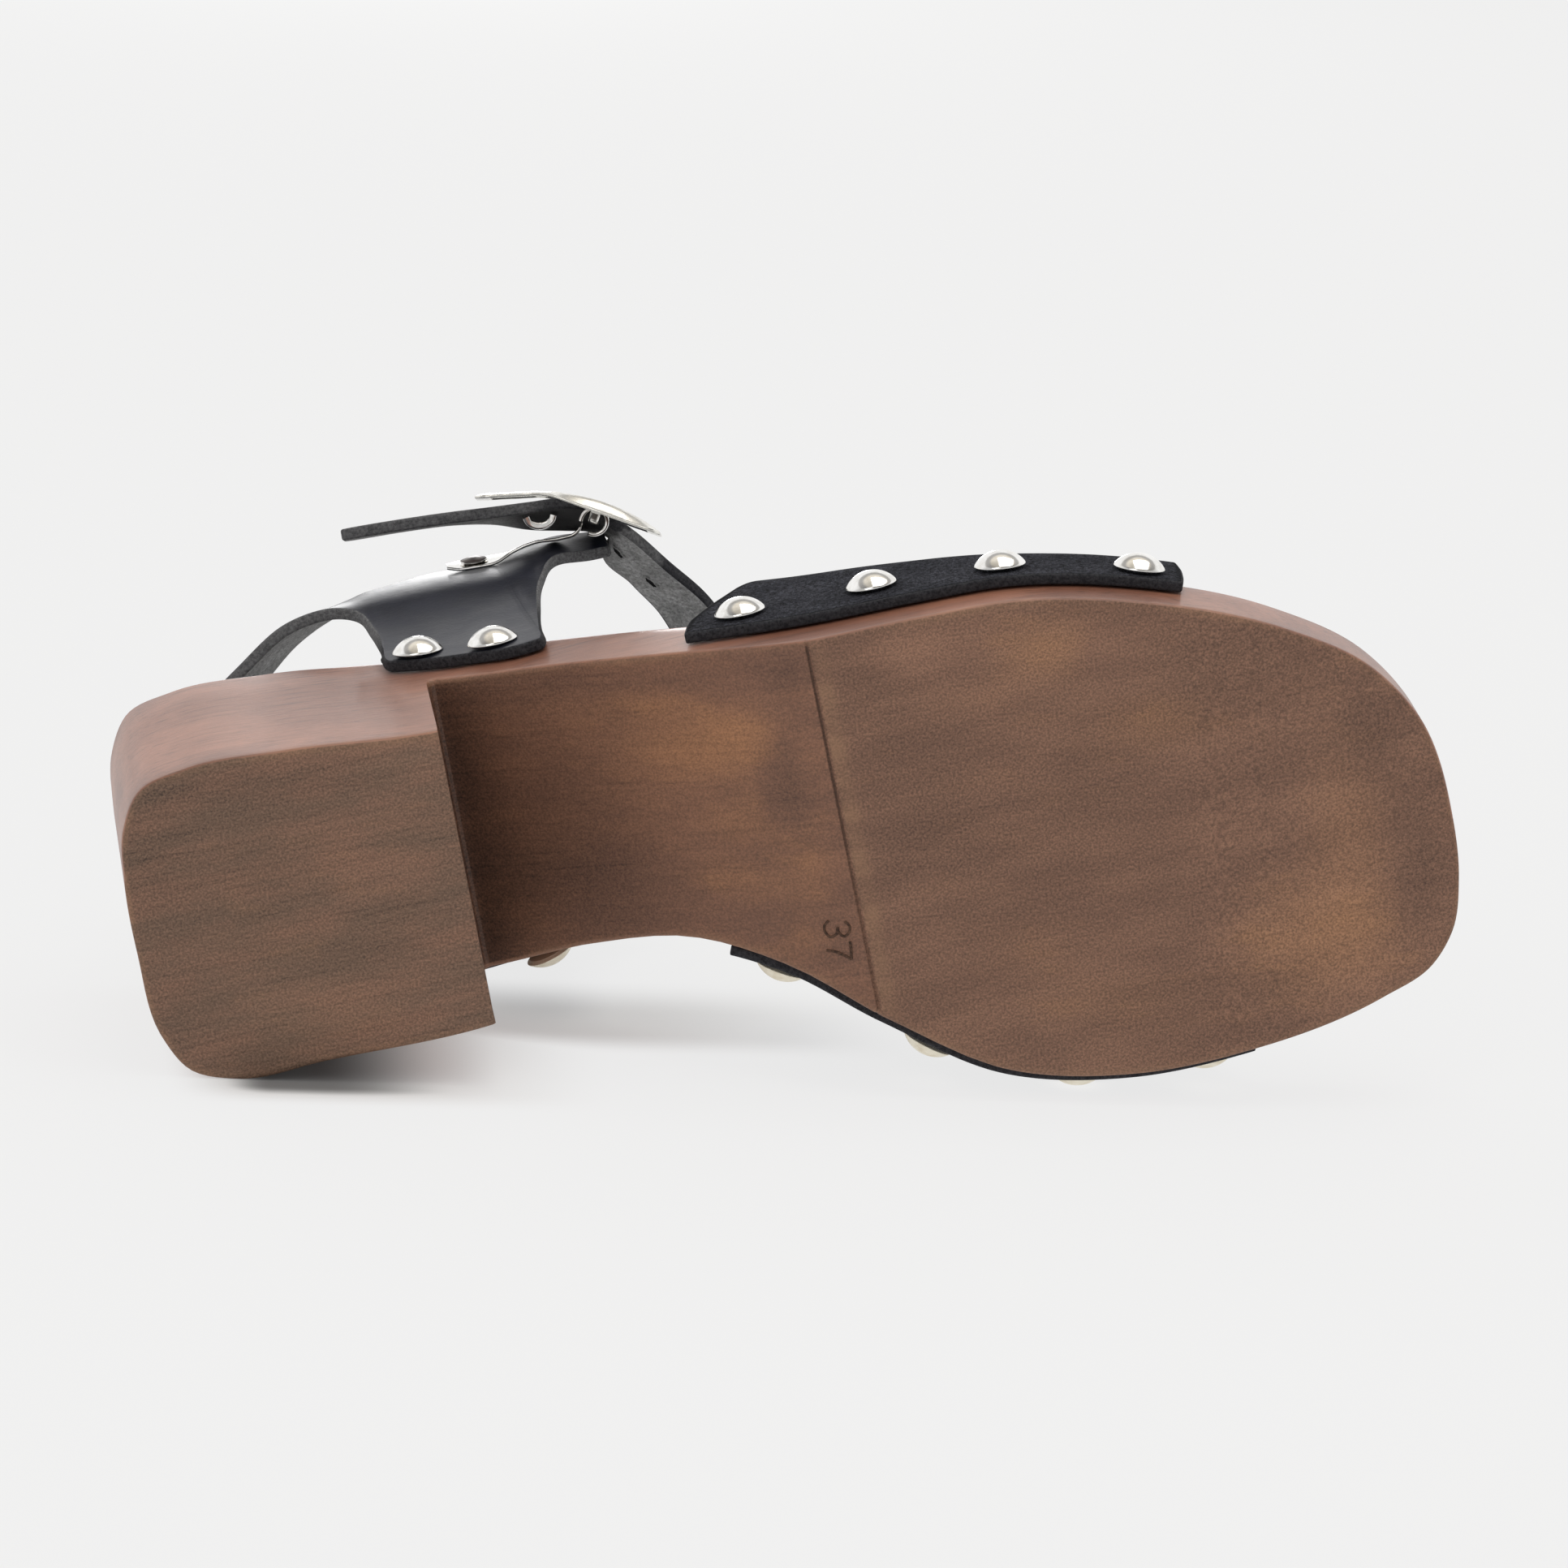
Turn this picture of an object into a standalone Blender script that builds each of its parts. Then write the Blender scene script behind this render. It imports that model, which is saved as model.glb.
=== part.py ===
"""Right clog sandal lying on its inner side: wooden sole, leather upper, domed studs and buckle."""
import math

import bmesh
import bpy
import numpy as np

MM = 0.001

# Driving sizes in millimetres, in the shoe's own frame:
# x runs from heel to toe, y towards the inner side of the foot, z up from the ground.
LENGTH = 244.0
HEEL_HEIGHT = 64.0
PLATFORM = 23.5
TOE_SPRING = 6.0
SPRING_START = 190.0
TOP_EDGE_RADIUS = 4.0
BOTTOM_EDGE_RADIUS = 0.8
FOOTBED_DISH = 1.2
GAP = 0.3
BASE_GAP = 0.45

# The heel block is turned against the shoe's axis, about the middle of the heel seat.
HEEL_TURN = math.radians(6.2)
HEEL_MIDDLE = 30.0

# Lying pose: turned onto the inner side, then lifted at the toe so that heel and band studs touch.
LIE_ROLL = math.radians(-90.0)
LIE_LIFT = math.radians(7.522)
LIE_ORIGIN = (-0.121111, -0.060440, 0.028457)

# Outline of the sole around from the back of the heel along the outer side, in the columns along, across.
OUTLINE = (
    (-0.2, -8.0),
    (0.4, -17.5),
    (3.8, -24.5),
    (12.5, -27.9),
    (30.5, -29.6),
    (59.0, -30.6),
    (81.5, -34.6),
    (105.5, -38.3),
    (127.5, -40.8),
    (148.0, -43.2),
    (166.0, -44.6),
    (188.0, -41.9),
    (214.5, -33.5),
    (230.0, -24.8),
    (238.5, -14.5),
    (243.6, 5.5),
    (244.0, 17.0),
    (242.2, 26.6),
    (237.8, 32.7),
    (228.2, 37.4),
    (202.5, 44.3),
    (181.0, 46.5),
    (158.0, 43.4),
    (136.0, 31.3),
    (119.5, 21.3),
    (103.0, 16.8),
    (85.0, 19.3),
    (65.5, 25.2),
    (33.5, 29.2),
    (17.0, 31.0),
    (8.7, 28.5),
    (4.1, 21.9),
    (1.0, 6.0),
)
TOE_KNOT = 15

# Side profile along the heel's axis, in the columns along, height.
FOOTBED = (
    (-20.0, HEEL_HEIGHT),
    (45.0, HEEL_HEIGHT),
    (62.0, 60.8),
    (73.0, 55.8),
    (85.0, 49.2),
    (98.0, 41.2),
    (109.0, 34.4),
    (120.0, 28.6),
    (131.0, 25.2),
    (145.0, PLATFORM),
    (260.0, PLATFORM),
)
ARCH = (
    (62.1, 37.6),
    (62.5, 39.0),
    (63.6, 39.6),
    (65.5, 38.6),
    (73.5, 33.4),
    (85.0, 26.2),
    (98.0, 17.8),
    (109.0, 10.8),
    (120.0, 4.6),
    (127.0, 1.6),
    (130.2, 0.5),
    (130.6, 1.1),
    (131.2, 1.1),
    (131.6, 0.0),
)
ARCH_HALF_WIDTH = 80.0
BELOW_GROUND = -10.0

INSOLE_INSET = 4.5
INSOLE_THICK = 1.6
INSOLE_EDGE = 0.5

BAND_THICK = 2.0
BAND_FULLNESS = 0.62
# Edges of the band from the outer foot over the crown to the inner foot, in the columns share, rear, front.
BAND_EDGES = (
    (0.00, 106.3, 196.8),
    (0.04, 106.6, 197.4),
    (0.06, 108.6, 197.6),
    (0.09, 112.8, 197.8),
    (0.13, 118.6, 197.6),
    (0.20, 124.2, 197.2),
    (0.30, 127.5, 195.5),
    (0.50, 133.0, 189.0),
    (0.70, 128.0, 195.0),
    (0.87, 117.0, 203.0),
    (1.00, 110.0, 204.0),
)
BAND_FOOT_SHARE = 0.13
# Lower edge of the band, in the columns along, outer height, inner height.
BAND_LOW = (
    (100.0, 16.5, 10.0),
    (107.0, 15.0, 9.5),
    (120.0, 12.0, 9.0),
    (133.0, 10.2, 9.6),
    (150.0, 10.0, 11.5),
    (165.0, 10.0, 13.5),
    (190.0, 10.5, 13.5),
    (210.0, 11.5, 13.5),
)
# Crown of the band, in the columns along, height above the footbed, shift to the inner side,
# upright part of the sides.
BAND_CROWN = (
    (100.0, 58.0, 2.0, 8.0),
    (120.0, 53.0, 2.5, 10.0),
    (132.0, 49.0, 3.0, 9.0),
    (150.0, 42.5, 4.0, 6.0),
    (170.0, 36.5, 5.0, 3.5),
    (189.0, 31.5, 5.0, 4.0),
    (210.0, 27.0, 5.0, 5.0),
)

STRAP_THICK = 2.2
# Outer and inner quarter with half of the heel strap, in the heel's own frame: along its axis, out from it,
# height. Columns: low along, low out, low height, high along, high out, high height, bow.
# Where low out is None the edge lies on the sole's wall.
QUARTER = (
    (105.0, 30.0, 101.5, 104.3, 31.2, 111.5, 0.0),
    (97.6, 30.0, 100.5, 95.8, 31.2, 112.0, 0.1),
    (91.7, 30.2, 96.5, 89.3, 30.6, 112.0, 0.3),
    (87.6, 30.1, 84.5, 84.8, 30.0, 112.0, 0.8),
    (85.6, 30.0, 66.0, 81.8, 29.5, 111.8, 1.2),
    (84.9, None, 48.0, 80.1, 29.2, 111.5, 1.5),
    (84.7, None, 37.0, 78.8, 29.2, 111.0, 1.5),
    (69.6, None, 42.3, 66.4, 29.9, 108.5, 1.5),
    (54.5, None, 48.8, 57.0, 30.0, 103.5, 1.2),
    (55.2, 29.9, 63.5, 55.5, 30.0, 102.5, 0.8),
    (54.8, 30.5, 74.0, 54.1, 29.9, 101.5, 0.4),
    (52.6, 31.5, 84.0, 52.1, 29.7, 100.5, 0.0),
    (48.1, 32.0, 87.0, 47.9, 28.6, 100.0, 0.0),
    (39.4, 30.4, 88.5, 40.5, 25.6, 100.4, 0.0),
    (29.4, 24.5, 89.5, 31.8, 18.8, 101.0, 0.0),
    (19.0, 15.6, 90.5, 22.6, 11.6, 101.8, 0.0),
)
HEEL_BACK = (13.0, 0.0, 91.0, 17.5, 0.0, 102.2, 0.0)
BASE_FRONT_ROW = 6
BASE_REAR_ROW = 8
INNER_TAB_ROW = 1
# Instep strap from the inner quarter over the instep to the buckle, in the shoe's frame.
# Columns: low x, low y, low z, high x, high y, high z.
INSTEP = (
    (112.5, 14.8, 107.5, 104.3, 11.5, 117.0),
    (121.5, -5.0, 113.5, 113.0, -4.0, 120.0),
    (118.0, -23.4, 109.0, 108.8, -19.3, 115.5),
    (107.6, -37.0, 103.2, 99.2, -33.0, 110.6),
)
# Middle line of the strap over the buckle's bar and along the free end, in the columns x, y, half width.
FREE_END = (
    (100.0, -41.6, 6.3),
    (98.9, -43.9, 6.3),
    (96.9, -45.4, 6.3),
    (94.4, -46.4, 6.3),
    (90.5, -46.9, 6.3),
    (84.0, -46.6, 6.3),
    (74.0, -46.1, 6.3),
    (59.0, -45.4, 6.3),
    (49.5, -45.05, 6.2),
    (47.6, -45.0, 4.4),
)
BUCKLE_HEIGHT = 105.0
# Direction across strap and buckle where they stand off the outer side.
BUCKLE_ACROSS = np.array((0.067, 0.242, 0.968))

STUD_RADIUS = 4.8
STUD_DOME = 2.2
STUD_RIM = 0.2
STUD_GAP = 0.5
# Studs of the band, in the columns along, rise over the band's lower edge.
BAND_STUDS = {
    "outer": ((117.0, 8.0), (141.4, 10.0), (165.0, 7.4), (190.6, 7.4)),
    "inner": ((120.0, 8.0), (146.0, 8.0), (172.0, 8.0), (196.0, 8.0)),
}
QUARTER_STUD_RISE = 6.2
# Places of the quarter's studs as shares of the nailed base, from its front to its rear.
QUARTER_STUDS = (0.76, 0.28)

# Bent line of the buckle frame at mid width, in the columns x, y: rear end, bend, front end.
BUCKLE_LINE = ((74.0, -49.9), (87.4, -49.3), (108.6, -39.4))
BUCKLE_HALF_WIDTH = 12.0
BUCKLE_RAIL = 2.8
BUCKLE_THICK = 1.4
BUCKLE_BAR_AT = 23.8
BUCKLE_BAR = 2.0
BUCKLE_BAR_DROP = 1.9
BUCKLE_BAR_SLOPE = 1.2

# Bent strips of sheet metal at mid width, in the columns x, y.
HOOK_PLATE_LINE = (
    (67.6, -36.8),
    (72.5, -37.2),
    (77.7, -37.9),
    (81.0, -39.5),
    (89.6, -40.4),
    (92.4, -41.4),
    (93.2, -42.8),
)
HOOK_PLATE_WIDTH = 7.0
BAR_CLIP_LINE = (
    (82.4, -44.4),
    (83.0, -42.6),
    (84.7, -42.0),
    (86.3, -43.0),
    (87.5, -44.4),
    (89.4, -44.3),
)
BAR_CLIP_WIDTH = 10.0
SHEET_THICK = 0.8
HOOK_RING_MIDDLE = (96.1, -42.8)
HOOK_RING_RADIUS = 2.5
HOOK_RING_SPAN = (math.radians(-170.0), math.radians(120.0))
HOOK_RING_WIDTH = 1.3
HOOK_RING_STEPS = 15
HOOK_RING_SHIFT = -7.25
RIVET_AT = (72.2, -38.1)
RIVET_RADIUS = 2.6
RIVET_DOME = 0.9

# Mesh resolution.
CURVE_STEPS = 12
SOLE_STATIONS = 56
SOLE_ACROSS = 6
BAND_ALONG = 14
BAND_ACROSS = 26
STRAP_STEPS = 3
STRAP_ACROSS = 4
STUD_SIDES = 14
STUD_RINGS = 3


def smooth_curve(rows, steps, closed=False):
    """Smooth curve through the rows, with the given number of steps between neighbours."""
    points = np.asarray(rows, float)
    count = len(points)
    if closed:
        ring = np.vstack([points[-1], points, points[:2]])
    else:
        ring = np.vstack([2 * points[0] - points[1], points, 2 * points[-1] - points[-2]])
    gaps = np.linalg.norm(np.diff(ring, axis=0), axis=1)[:, None]
    slopes = np.diff(ring, axis=0) / gaps
    tangents = (slopes[:-1] * gaps[1:] + slopes[1:] * gaps[:-1]) / (gaps[:-1] + gaps[1:])
    if closed:
        tangents = np.vstack([tangents, tangents[:1]])
    result = []
    for index in range(count if closed else count - 1):
        start, end = ring[index + 1], ring[index + 2]
        reach = gaps[index + 1]
        if closed and index == count - 1:
            end_tangent = tangents[0]
        else:
            end_tangent = tangents[index + 1]
        for step in range(steps):
            t = step / steps
            leave = (2 * t ** 3 - 3 * t ** 2 + 1) * start + (t ** 3 - 2 * t ** 2 + t) * reach * tangents[index]
            arrive = (3 * t ** 2 - 2 * t ** 3) * end + (t ** 3 - t ** 2) * reach * end_tangent
            result.append(leave + arrive)
    if not closed:
        result.append(points[-1])
    return np.array(result)


def spaced(points, count):
    """The same curve in the given number of pieces, closer together where its knots are close."""
    lengths = np.linalg.norm(np.diff(points, axis=0), axis=1)
    reach = np.concatenate([[0.0], np.cumsum(lengths / lengths.sum() + 1.0 / len(lengths))])
    marks = np.linspace(0.0, reach[-1], count + 1)
    return np.stack([np.interp(marks, reach, points[:, axis]) for axis in range(points.shape[1])], axis=1)


def table(rows, at, column=1):
    """Smooth value of one column of a table at a value of its first column."""
    curve = smooth_curve(rows, CURVE_STEPS)
    return np.interp(at, curve[:, 0], curve[:, column])


def build_rim():
    """Outline points from the heel to the toe on the outer side and back on the inner side."""
    dense = smooth_curve(OUTLINE, CURVE_STEPS, closed=True)
    toe = TOE_KNOT * CURVE_STEPS
    outer = spaced(dense[:toe + 1], SOLE_STATIONS)
    inner = spaced(np.vstack([dense[toe:], dense[:1]]), SOLE_STATIONS)
    return np.vstack([outer[:-1], inner[:-1]])


RIM = build_rim()


def inset(distance):
    """Outline moved inwards."""
    ahead = np.roll(RIM, -1, axis=0) - np.roll(RIM, 1, axis=0)
    ahead /= np.linalg.norm(ahead, axis=1)[:, None]
    inward = np.stack([-ahead[:, 1], ahead[:, 0]], axis=1)
    return RIM + distance * inward


def heel_along(x, y):
    """Distance along the heel's axis."""
    return HEEL_MIDDLE + (x - HEEL_MIDDLE) * math.cos(HEEL_TURN) - y * math.sin(HEEL_TURN)


def heel_across(x, y):
    """Distance across the heel's axis, towards the inner side."""
    return (x - HEEL_MIDDLE) * math.sin(HEEL_TURN) + y * math.cos(HEEL_TURN)


def from_heel(along, across, height):
    """Point of the shoe's frame from the heel's own frame."""
    reach = along - HEEL_MIDDLE
    return (HEEL_MIDDLE + reach * math.cos(HEEL_TURN) + across * math.sin(HEEL_TURN),
            -reach * math.sin(HEEL_TURN) + across * math.cos(HEEL_TURN), height)


def wall_across(x, side):
    """Place of the sole's wall at x on the outer or the inner side."""
    half = RIM[:SOLE_STATIONS + 1] if side == "outer" else np.vstack([RIM[SOLE_STATIONS:], RIM[:1]])[::-1]
    return float(np.interp(x, half[:, 0], half[:, 1]))


def wall_out(along, side):
    """Distance of the sole's wall from the heel's axis."""
    half = RIM[:SOLE_STATIONS + 1] if side == "outer" else np.vstack([RIM[SOLE_STATIONS:], RIM[:1]])[::-1]
    places = heel_along(half[:, 0], half[:, 1])
    return float(np.interp(along, places, np.abs(heel_across(half[:, 0], half[:, 1]))))


def ground_height(x):
    """Height of the sole's underside, which rises at the toe."""
    share = np.clip((x - SPRING_START) / (LENGTH - SPRING_START), 0.0, None)
    return TOE_SPRING * share ** 2


def footbed_height(x, y):
    """Height of the footbed's edge."""
    return table(FOOTBED, heel_along(x, y))


class Solid:
    """Points and faces of one closed piece, in millimetres."""

    def __init__(self):
        self.points = []
        self.faces = []

    def add(self, points):
        first = len(self.points)
        self.points.extend(tuple(float(value) for value in point) for point in points)
        return list(range(first, len(self.points)))

    def join_rings(self, lower, upper):
        count = len(lower)
        for index in range(count):
            after = (index + 1) % count
            self.faces.append((lower[index], lower[after], upper[after], upper[index]))

    def leaf(self, ring, height, across):
        """Closes a ring with rows from its outer half to its inner half."""
        half = len(ring) // 2
        rows = [[ring[0]]]
        for station in range(1, half):
            start = np.array(self.points[ring[station]])
            end = np.array(self.points[ring[-station]])
            shares = np.arange(1, across) / across
            middle = [start + (end - start) * share for share in shares]
            for point, share in zip(middle, shares):
                point[2] = height(point[0], point[1], share)
            rows.append([ring[station]] + self.add(middle) + [ring[-station]])
        rows.append([ring[half]])
        for before, after in zip(rows, rows[1:]):
            for place in range(across):
                corners = [before[min(place, len(before) - 1)], after[min(place, len(after) - 1)],
                           after[min(place + 1, len(after) - 1)], before[min(place + 1, len(before) - 1)]]
                self.faces.append(tuple(dict.fromkeys(corners)))

    def make(self, name, material, smooth_angle=math.radians(40.0)):
        """Blender object of this piece, with its faces pointing out."""
        mesh = bpy.data.meshes.new(name)
        mesh.from_pydata([(x * MM, y * MM, z * MM) for x, y, z in self.points], [], self.faces)
        model = bmesh.new()
        model.from_mesh(mesh)
        unused = [point for point in model.verts if not point.link_faces]
        bmesh.ops.delete(model, geom=unused, context="VERTS")
        bmesh.ops.recalc_face_normals(model, faces=model.faces)
        model.to_mesh(mesh)
        model.free()
        mesh.shade_smooth()
        mesh.set_sharp_from_angle(angle=smooth_angle)
        thing = bpy.data.objects.new(name, mesh)
        bpy.context.scene.collection.objects.link(thing)
        if material is not None:
            mesh.materials.append(material)
        return thing


def make_material(name, colour, roughness, metallic=0.0):
    material = bpy.data.materials.new(name)
    material.use_nodes = True
    shader = material.node_tree.nodes["Principled BSDF"]
    shader.inputs["Base Color"].default_value = (*colour, 1.0)
    shader.inputs["Roughness"].default_value = roughness
    shader.inputs["Metallic"].default_value = metallic
    material.diffuse_color = (*colour, 1.0)
    return material


def dish(share):
    """Depth of the footbed's hollow at a share of its width."""
    return FOOTBED_DISH * 4.0 * share * (1.0 - share)


def ring_at(solid, distance, height):
    points = inset(distance)
    return solid.add((x, y, height(x, y)) for x, y in points)


def make_sole(material):
    solid = Solid()
    radius = TOP_EDGE_RADIUS
    slope = radius * math.sqrt(0.5)
    rings = [
        ring_at(solid, BOTTOM_EDGE_RADIUS, lambda x, y: ground_height(x)),
        ring_at(solid, 0.0, lambda x, y: ground_height(x) + BOTTOM_EDGE_RADIUS),
        ring_at(solid, 0.0, lambda x, y: footbed_height(x, y) - radius),
        ring_at(solid, radius - slope, lambda x, y: footbed_height(x, y) - radius + slope),
        ring_at(solid, radius, footbed_height),
    ]
    for lower, upper in zip(rings, rings[1:]):
        solid.join_rings(lower, upper)
    solid.leaf(rings[0], lambda x, y, share: ground_height(x), SOLE_ACROSS)
    solid.leaf(rings[-1], lambda x, y, share: footbed_height(x, y) - dish(share), SOLE_ACROSS)
    sole = solid.make("wooden_sole", material)
    cutter = make_arch_cutter()
    cut = sole.modifiers.new("arch", "BOOLEAN")
    cut.operation = "DIFFERENCE"
    cut.solver = "EXACT"
    cut.object = cutter
    return sole, cutter


def make_arch_cutter():
    """Prism that saws out the arch behind the breast of the heel."""
    solid = Solid()
    profile = [(ARCH[0][0], BELOW_GROUND), *ARCH, (ARCH[-1][0], BELOW_GROUND)]
    sides = []
    for across in (-ARCH_HALF_WIDTH, ARCH_HALF_WIDTH):
        sides.append(solid.add(from_heel(along, across, height) for along, height in profile))
    solid.join_rings(sides[0], sides[1])
    solid.faces.append(tuple(sides[0]))
    solid.faces.append(tuple(reversed(sides[1])))
    cutter = solid.make("arch_cutter", None)
    cutter.hide_render = True
    cutter.display_type = "WIRE"
    return cutter


def make_insole(material):
    solid = Solid()

    def floor(x, y):
        return footbed_height(x, y) + GAP

    def top(x, y, share):
        return floor(x, y) + INSOLE_THICK - dish(share)

    rings = [
        ring_at(solid, INSOLE_INSET, floor),
        ring_at(solid, INSOLE_INSET, lambda x, y: floor(x, y) + INSOLE_THICK - INSOLE_EDGE),
        ring_at(solid, INSOLE_INSET + INSOLE_EDGE, lambda x, y: floor(x, y) + INSOLE_THICK),
    ]
    for lower, upper in zip(rings, rings[1:]):
        solid.join_rings(lower, upper)
    solid.leaf(rings[0], lambda x, y, share: floor(x, y) - dish(share), SOLE_ACROSS)
    solid.leaf(rings[-1], top, SOLE_ACROSS)
    return solid.make("insole_sock", material)


def thicken(thing, thickness):
    """Gives an open surface a wall of even thickness on both sides."""
    wall = thing.modifiers.new("wall", "SOLIDIFY")
    wall.thickness = thickness * MM
    wall.offset = 0.0
    wall.use_quality_normals = True
    return thing


def sheet(name, grid, thickness, material):
    """Closed wall of even thickness around a grid of points."""
    solid = Solid()
    rows = [solid.add(row) for row in grid]
    for before, after in zip(rows, rows[1:]):
        for place in range(len(before) - 1):
            solid.faces.append((before[place], after[place], after[place + 1], before[place + 1]))
    return thicken(solid.make(name, material), thickness)


def band_low(x, side):
    """Height of the band's lower edge."""
    return table(BAND_LOW, x, 1 if side == "outer" else 2)


def arch_curve(share, foot, crown, base, top):
    """Quarter of the band's arch, upright at the foot and level at the crown."""
    fullness = BAND_FULLNESS
    knots = ((foot, base), (foot, base + fullness * (top - base)),
             (crown + (1.0 - fullness) * (foot - crown), top), (crown, top))
    weights = ((1 - share) ** 3, 3 * share * (1 - share) ** 2, 3 * share ** 2 * (1 - share), share ** 3)
    return (sum(w * k[0] for w, k in zip(weights, knots)), sum(w * k[1] for w, k in zip(weights, knots)))


def band_point(share, reach):
    """Point of the band's middle surface, from the outer foot to the inner and from rear to front."""
    rear = table(BAND_EDGES, share, 1)
    front = table(BAND_EDGES, share, 2)
    x = rear + (front - rear) * reach
    side = "outer" if share < 0.5 else "inner"
    outward = -1.0 if side == "outer" else 1.0
    foot = wall_across(x, side) + outward * (BASE_GAP + BAND_THICK / 2)
    crown = (wall_across(x, "outer") + wall_across(x, "inner")) / 2 + table(BAND_CROWN, x, 2)
    bed = float(footbed_height(x, foot))
    top = bed + table(BAND_CROWN, x, 1)
    base = bed + table(BAND_CROWN, x, 3)
    low = band_low(x, side)
    from_foot = min(share, 1.0 - share)
    if from_foot < BAND_FOOT_SHARE:
        return x, foot, low + (base - low) * from_foot / BAND_FOOT_SHARE
    y, z = arch_curve((from_foot - BAND_FOOT_SHARE) / (0.5 - BAND_FOOT_SHARE), foot, crown, base, top)
    return x, y, z


def make_band(material):
    grid = []
    for across in range(BAND_ACROSS + 1):
        share = across / BAND_ACROSS
        grid.append([band_point(share, along / BAND_ALONG) for along in range(BAND_ALONG + 1)])
    return sheet("vamp_band", grid, BAND_THICK, material)


def quarter_row(row, side):
    """Low and high point of a quarter's section in the shoe's frame, with its bow."""
    low_along, low_out, low_height, high_along, high_out, high_height, bow = row
    outward = -1.0 if side == "outer" else 1.0
    if low_out is None:
        low_out = wall_out(low_along, side) + BASE_GAP + STRAP_THICK / 2
    low = from_heel(low_along, outward * low_out, low_height)
    high = from_heel(high_along, outward * high_out, high_height)
    return (*low, *high, bow)


def strap_rows():
    """Sections of the strap work from the outer tab round the heel and over the instep to the free end."""
    rows = [quarter_row(row, "outer") for row in QUARTER]
    rows.append(quarter_row(HEEL_BACK, "inner"))
    rows.extend(quarter_row(row, "inner") for row in reversed(QUARTER[INNER_TAB_ROW:]))
    rows.extend((*row, 0.0) for row in INSTEP)
    for x, y, half in FREE_END:
        middle = np.array((x, y, BUCKLE_HEIGHT))
        rows.append((*(middle - half * BUCKLE_ACROSS), *(middle + half * BUCKLE_ACROSS), 0.0))
    return rows


def strap_corners():
    """Rows at which the lower edge turns a corner: the ends of the two nailed bases."""
    last = 2 * len(QUARTER)
    outer = [BASE_FRONT_ROW, BASE_REAR_ROW]
    return outer + [last - row for row in reversed(outer)]


def cornered_curve(rows, corners, steps):
    """Smooth curve that keeps a corner at the given rows."""
    stops = [0, *corners, len(rows) - 1]
    pieces = [smooth_curve(rows[start:end + 1], steps) for start, end in zip(stops, stops[1:])]
    return np.vstack([pieces[0]] + [piece[1:] for piece in pieces[1:]])


def strap_curve():
    """Sections of the strap work, close together."""
    return cornered_curve(strap_rows(), strap_corners(), STRAP_STEPS)


def strap_point(curve, place, share):
    """Point of the strap work's middle surface, at a place along its sections and a share of their height."""
    def section(at):
        return np.array([np.interp(at, range(len(curve)), column) for column in curve.T])

    here, before, after = section(place), section(place - 1.0), section(place + 1.0)
    rise = here[3:6] - here[0:3]
    ahead = (after[0:3] + after[3:6]) - (before[0:3] + before[3:6])
    outward = np.cross(rise, ahead)
    outward /= np.linalg.norm(outward)
    return here[0:3] + rise * share + outward * here[6] * 4.0 * share * (1.0 - share)


def make_straps(material):
    curve = strap_curve()
    shares = np.linspace(0.0, 1.0, STRAP_ACROSS + 1)
    grid = [[strap_point(curve, station, share) for share in shares] for station in range(len(curve))]
    return sheet("quarter_straps", grid, STRAP_THICK, material)


def frame_of(normal):
    """Two directions at right angles to a normal."""
    normal = np.asarray(normal, float)
    side = np.cross(normal, (0.0, 0.0, 1.0))
    side /= np.linalg.norm(side)
    return side, np.cross(side, normal)


def make_dome(name, place, normal, radius, dome, rim, material):
    """Domed head on a flat round base."""
    solid = Solid()
    place = np.asarray(place, float)
    normal = np.asarray(normal, float) / np.linalg.norm(normal)
    side, up = frame_of(normal)
    sphere = (radius ** 2 + dome ** 2) / (2 * dome)
    opening = math.asin(min(1.0, radius / sphere))
    profile = [(radius, 0.0)]
    for ring in range(STUD_RINGS):
        angle = opening * (1.0 - ring / STUD_RINGS)
        profile.append((sphere * math.sin(angle), rim + sphere * math.cos(angle) - (sphere - dome)))
    rings = []
    for distance, height in profile:
        angles = 2 * math.pi * np.arange(STUD_SIDES) / STUD_SIDES
        rings.append(solid.add(place + normal * height + distance * (math.cos(a) * side + math.sin(a) * up)
                               for a in angles))
    for lower, upper in zip(rings, rings[1:]):
        solid.join_rings(lower, upper)
    solid.faces.append(tuple(reversed(rings[0])))
    tip = solid.add([place + normal * (rim + dome)])[0]
    for index in range(STUD_SIDES):
        solid.faces.append((rings[-1][index], rings[-1][(index + 1) % STUD_SIDES], tip))
    return solid.make(name, material)


def wall_normal(x, side):
    """Outward direction of the sole's wall seen from above."""
    step = 1.0
    slope = (wall_across(x + step, side) - wall_across(x - step, side)) / (2 * step)
    normal = np.array((slope, -1.0, 0.0)) if side == "outer" else np.array((-slope, 1.0, 0.0))
    return normal / np.linalg.norm(normal)


def make_band_studs(material):
    studs = []
    for side, places in BAND_STUDS.items():
        for number, (x, rise) in enumerate(places, start=1):
            normal = wall_normal(x, side)
            base = np.array((x, wall_across(x, side), band_low(x, side) + rise))
            base += normal * (BASE_GAP + BAND_THICK + STUD_GAP)
            name = f"band_stud_{side}_{number}"
            studs.append(make_dome(name, base, normal, STUD_RADIUS, STUD_DOME, STUD_RIM, material))
    return studs


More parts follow.
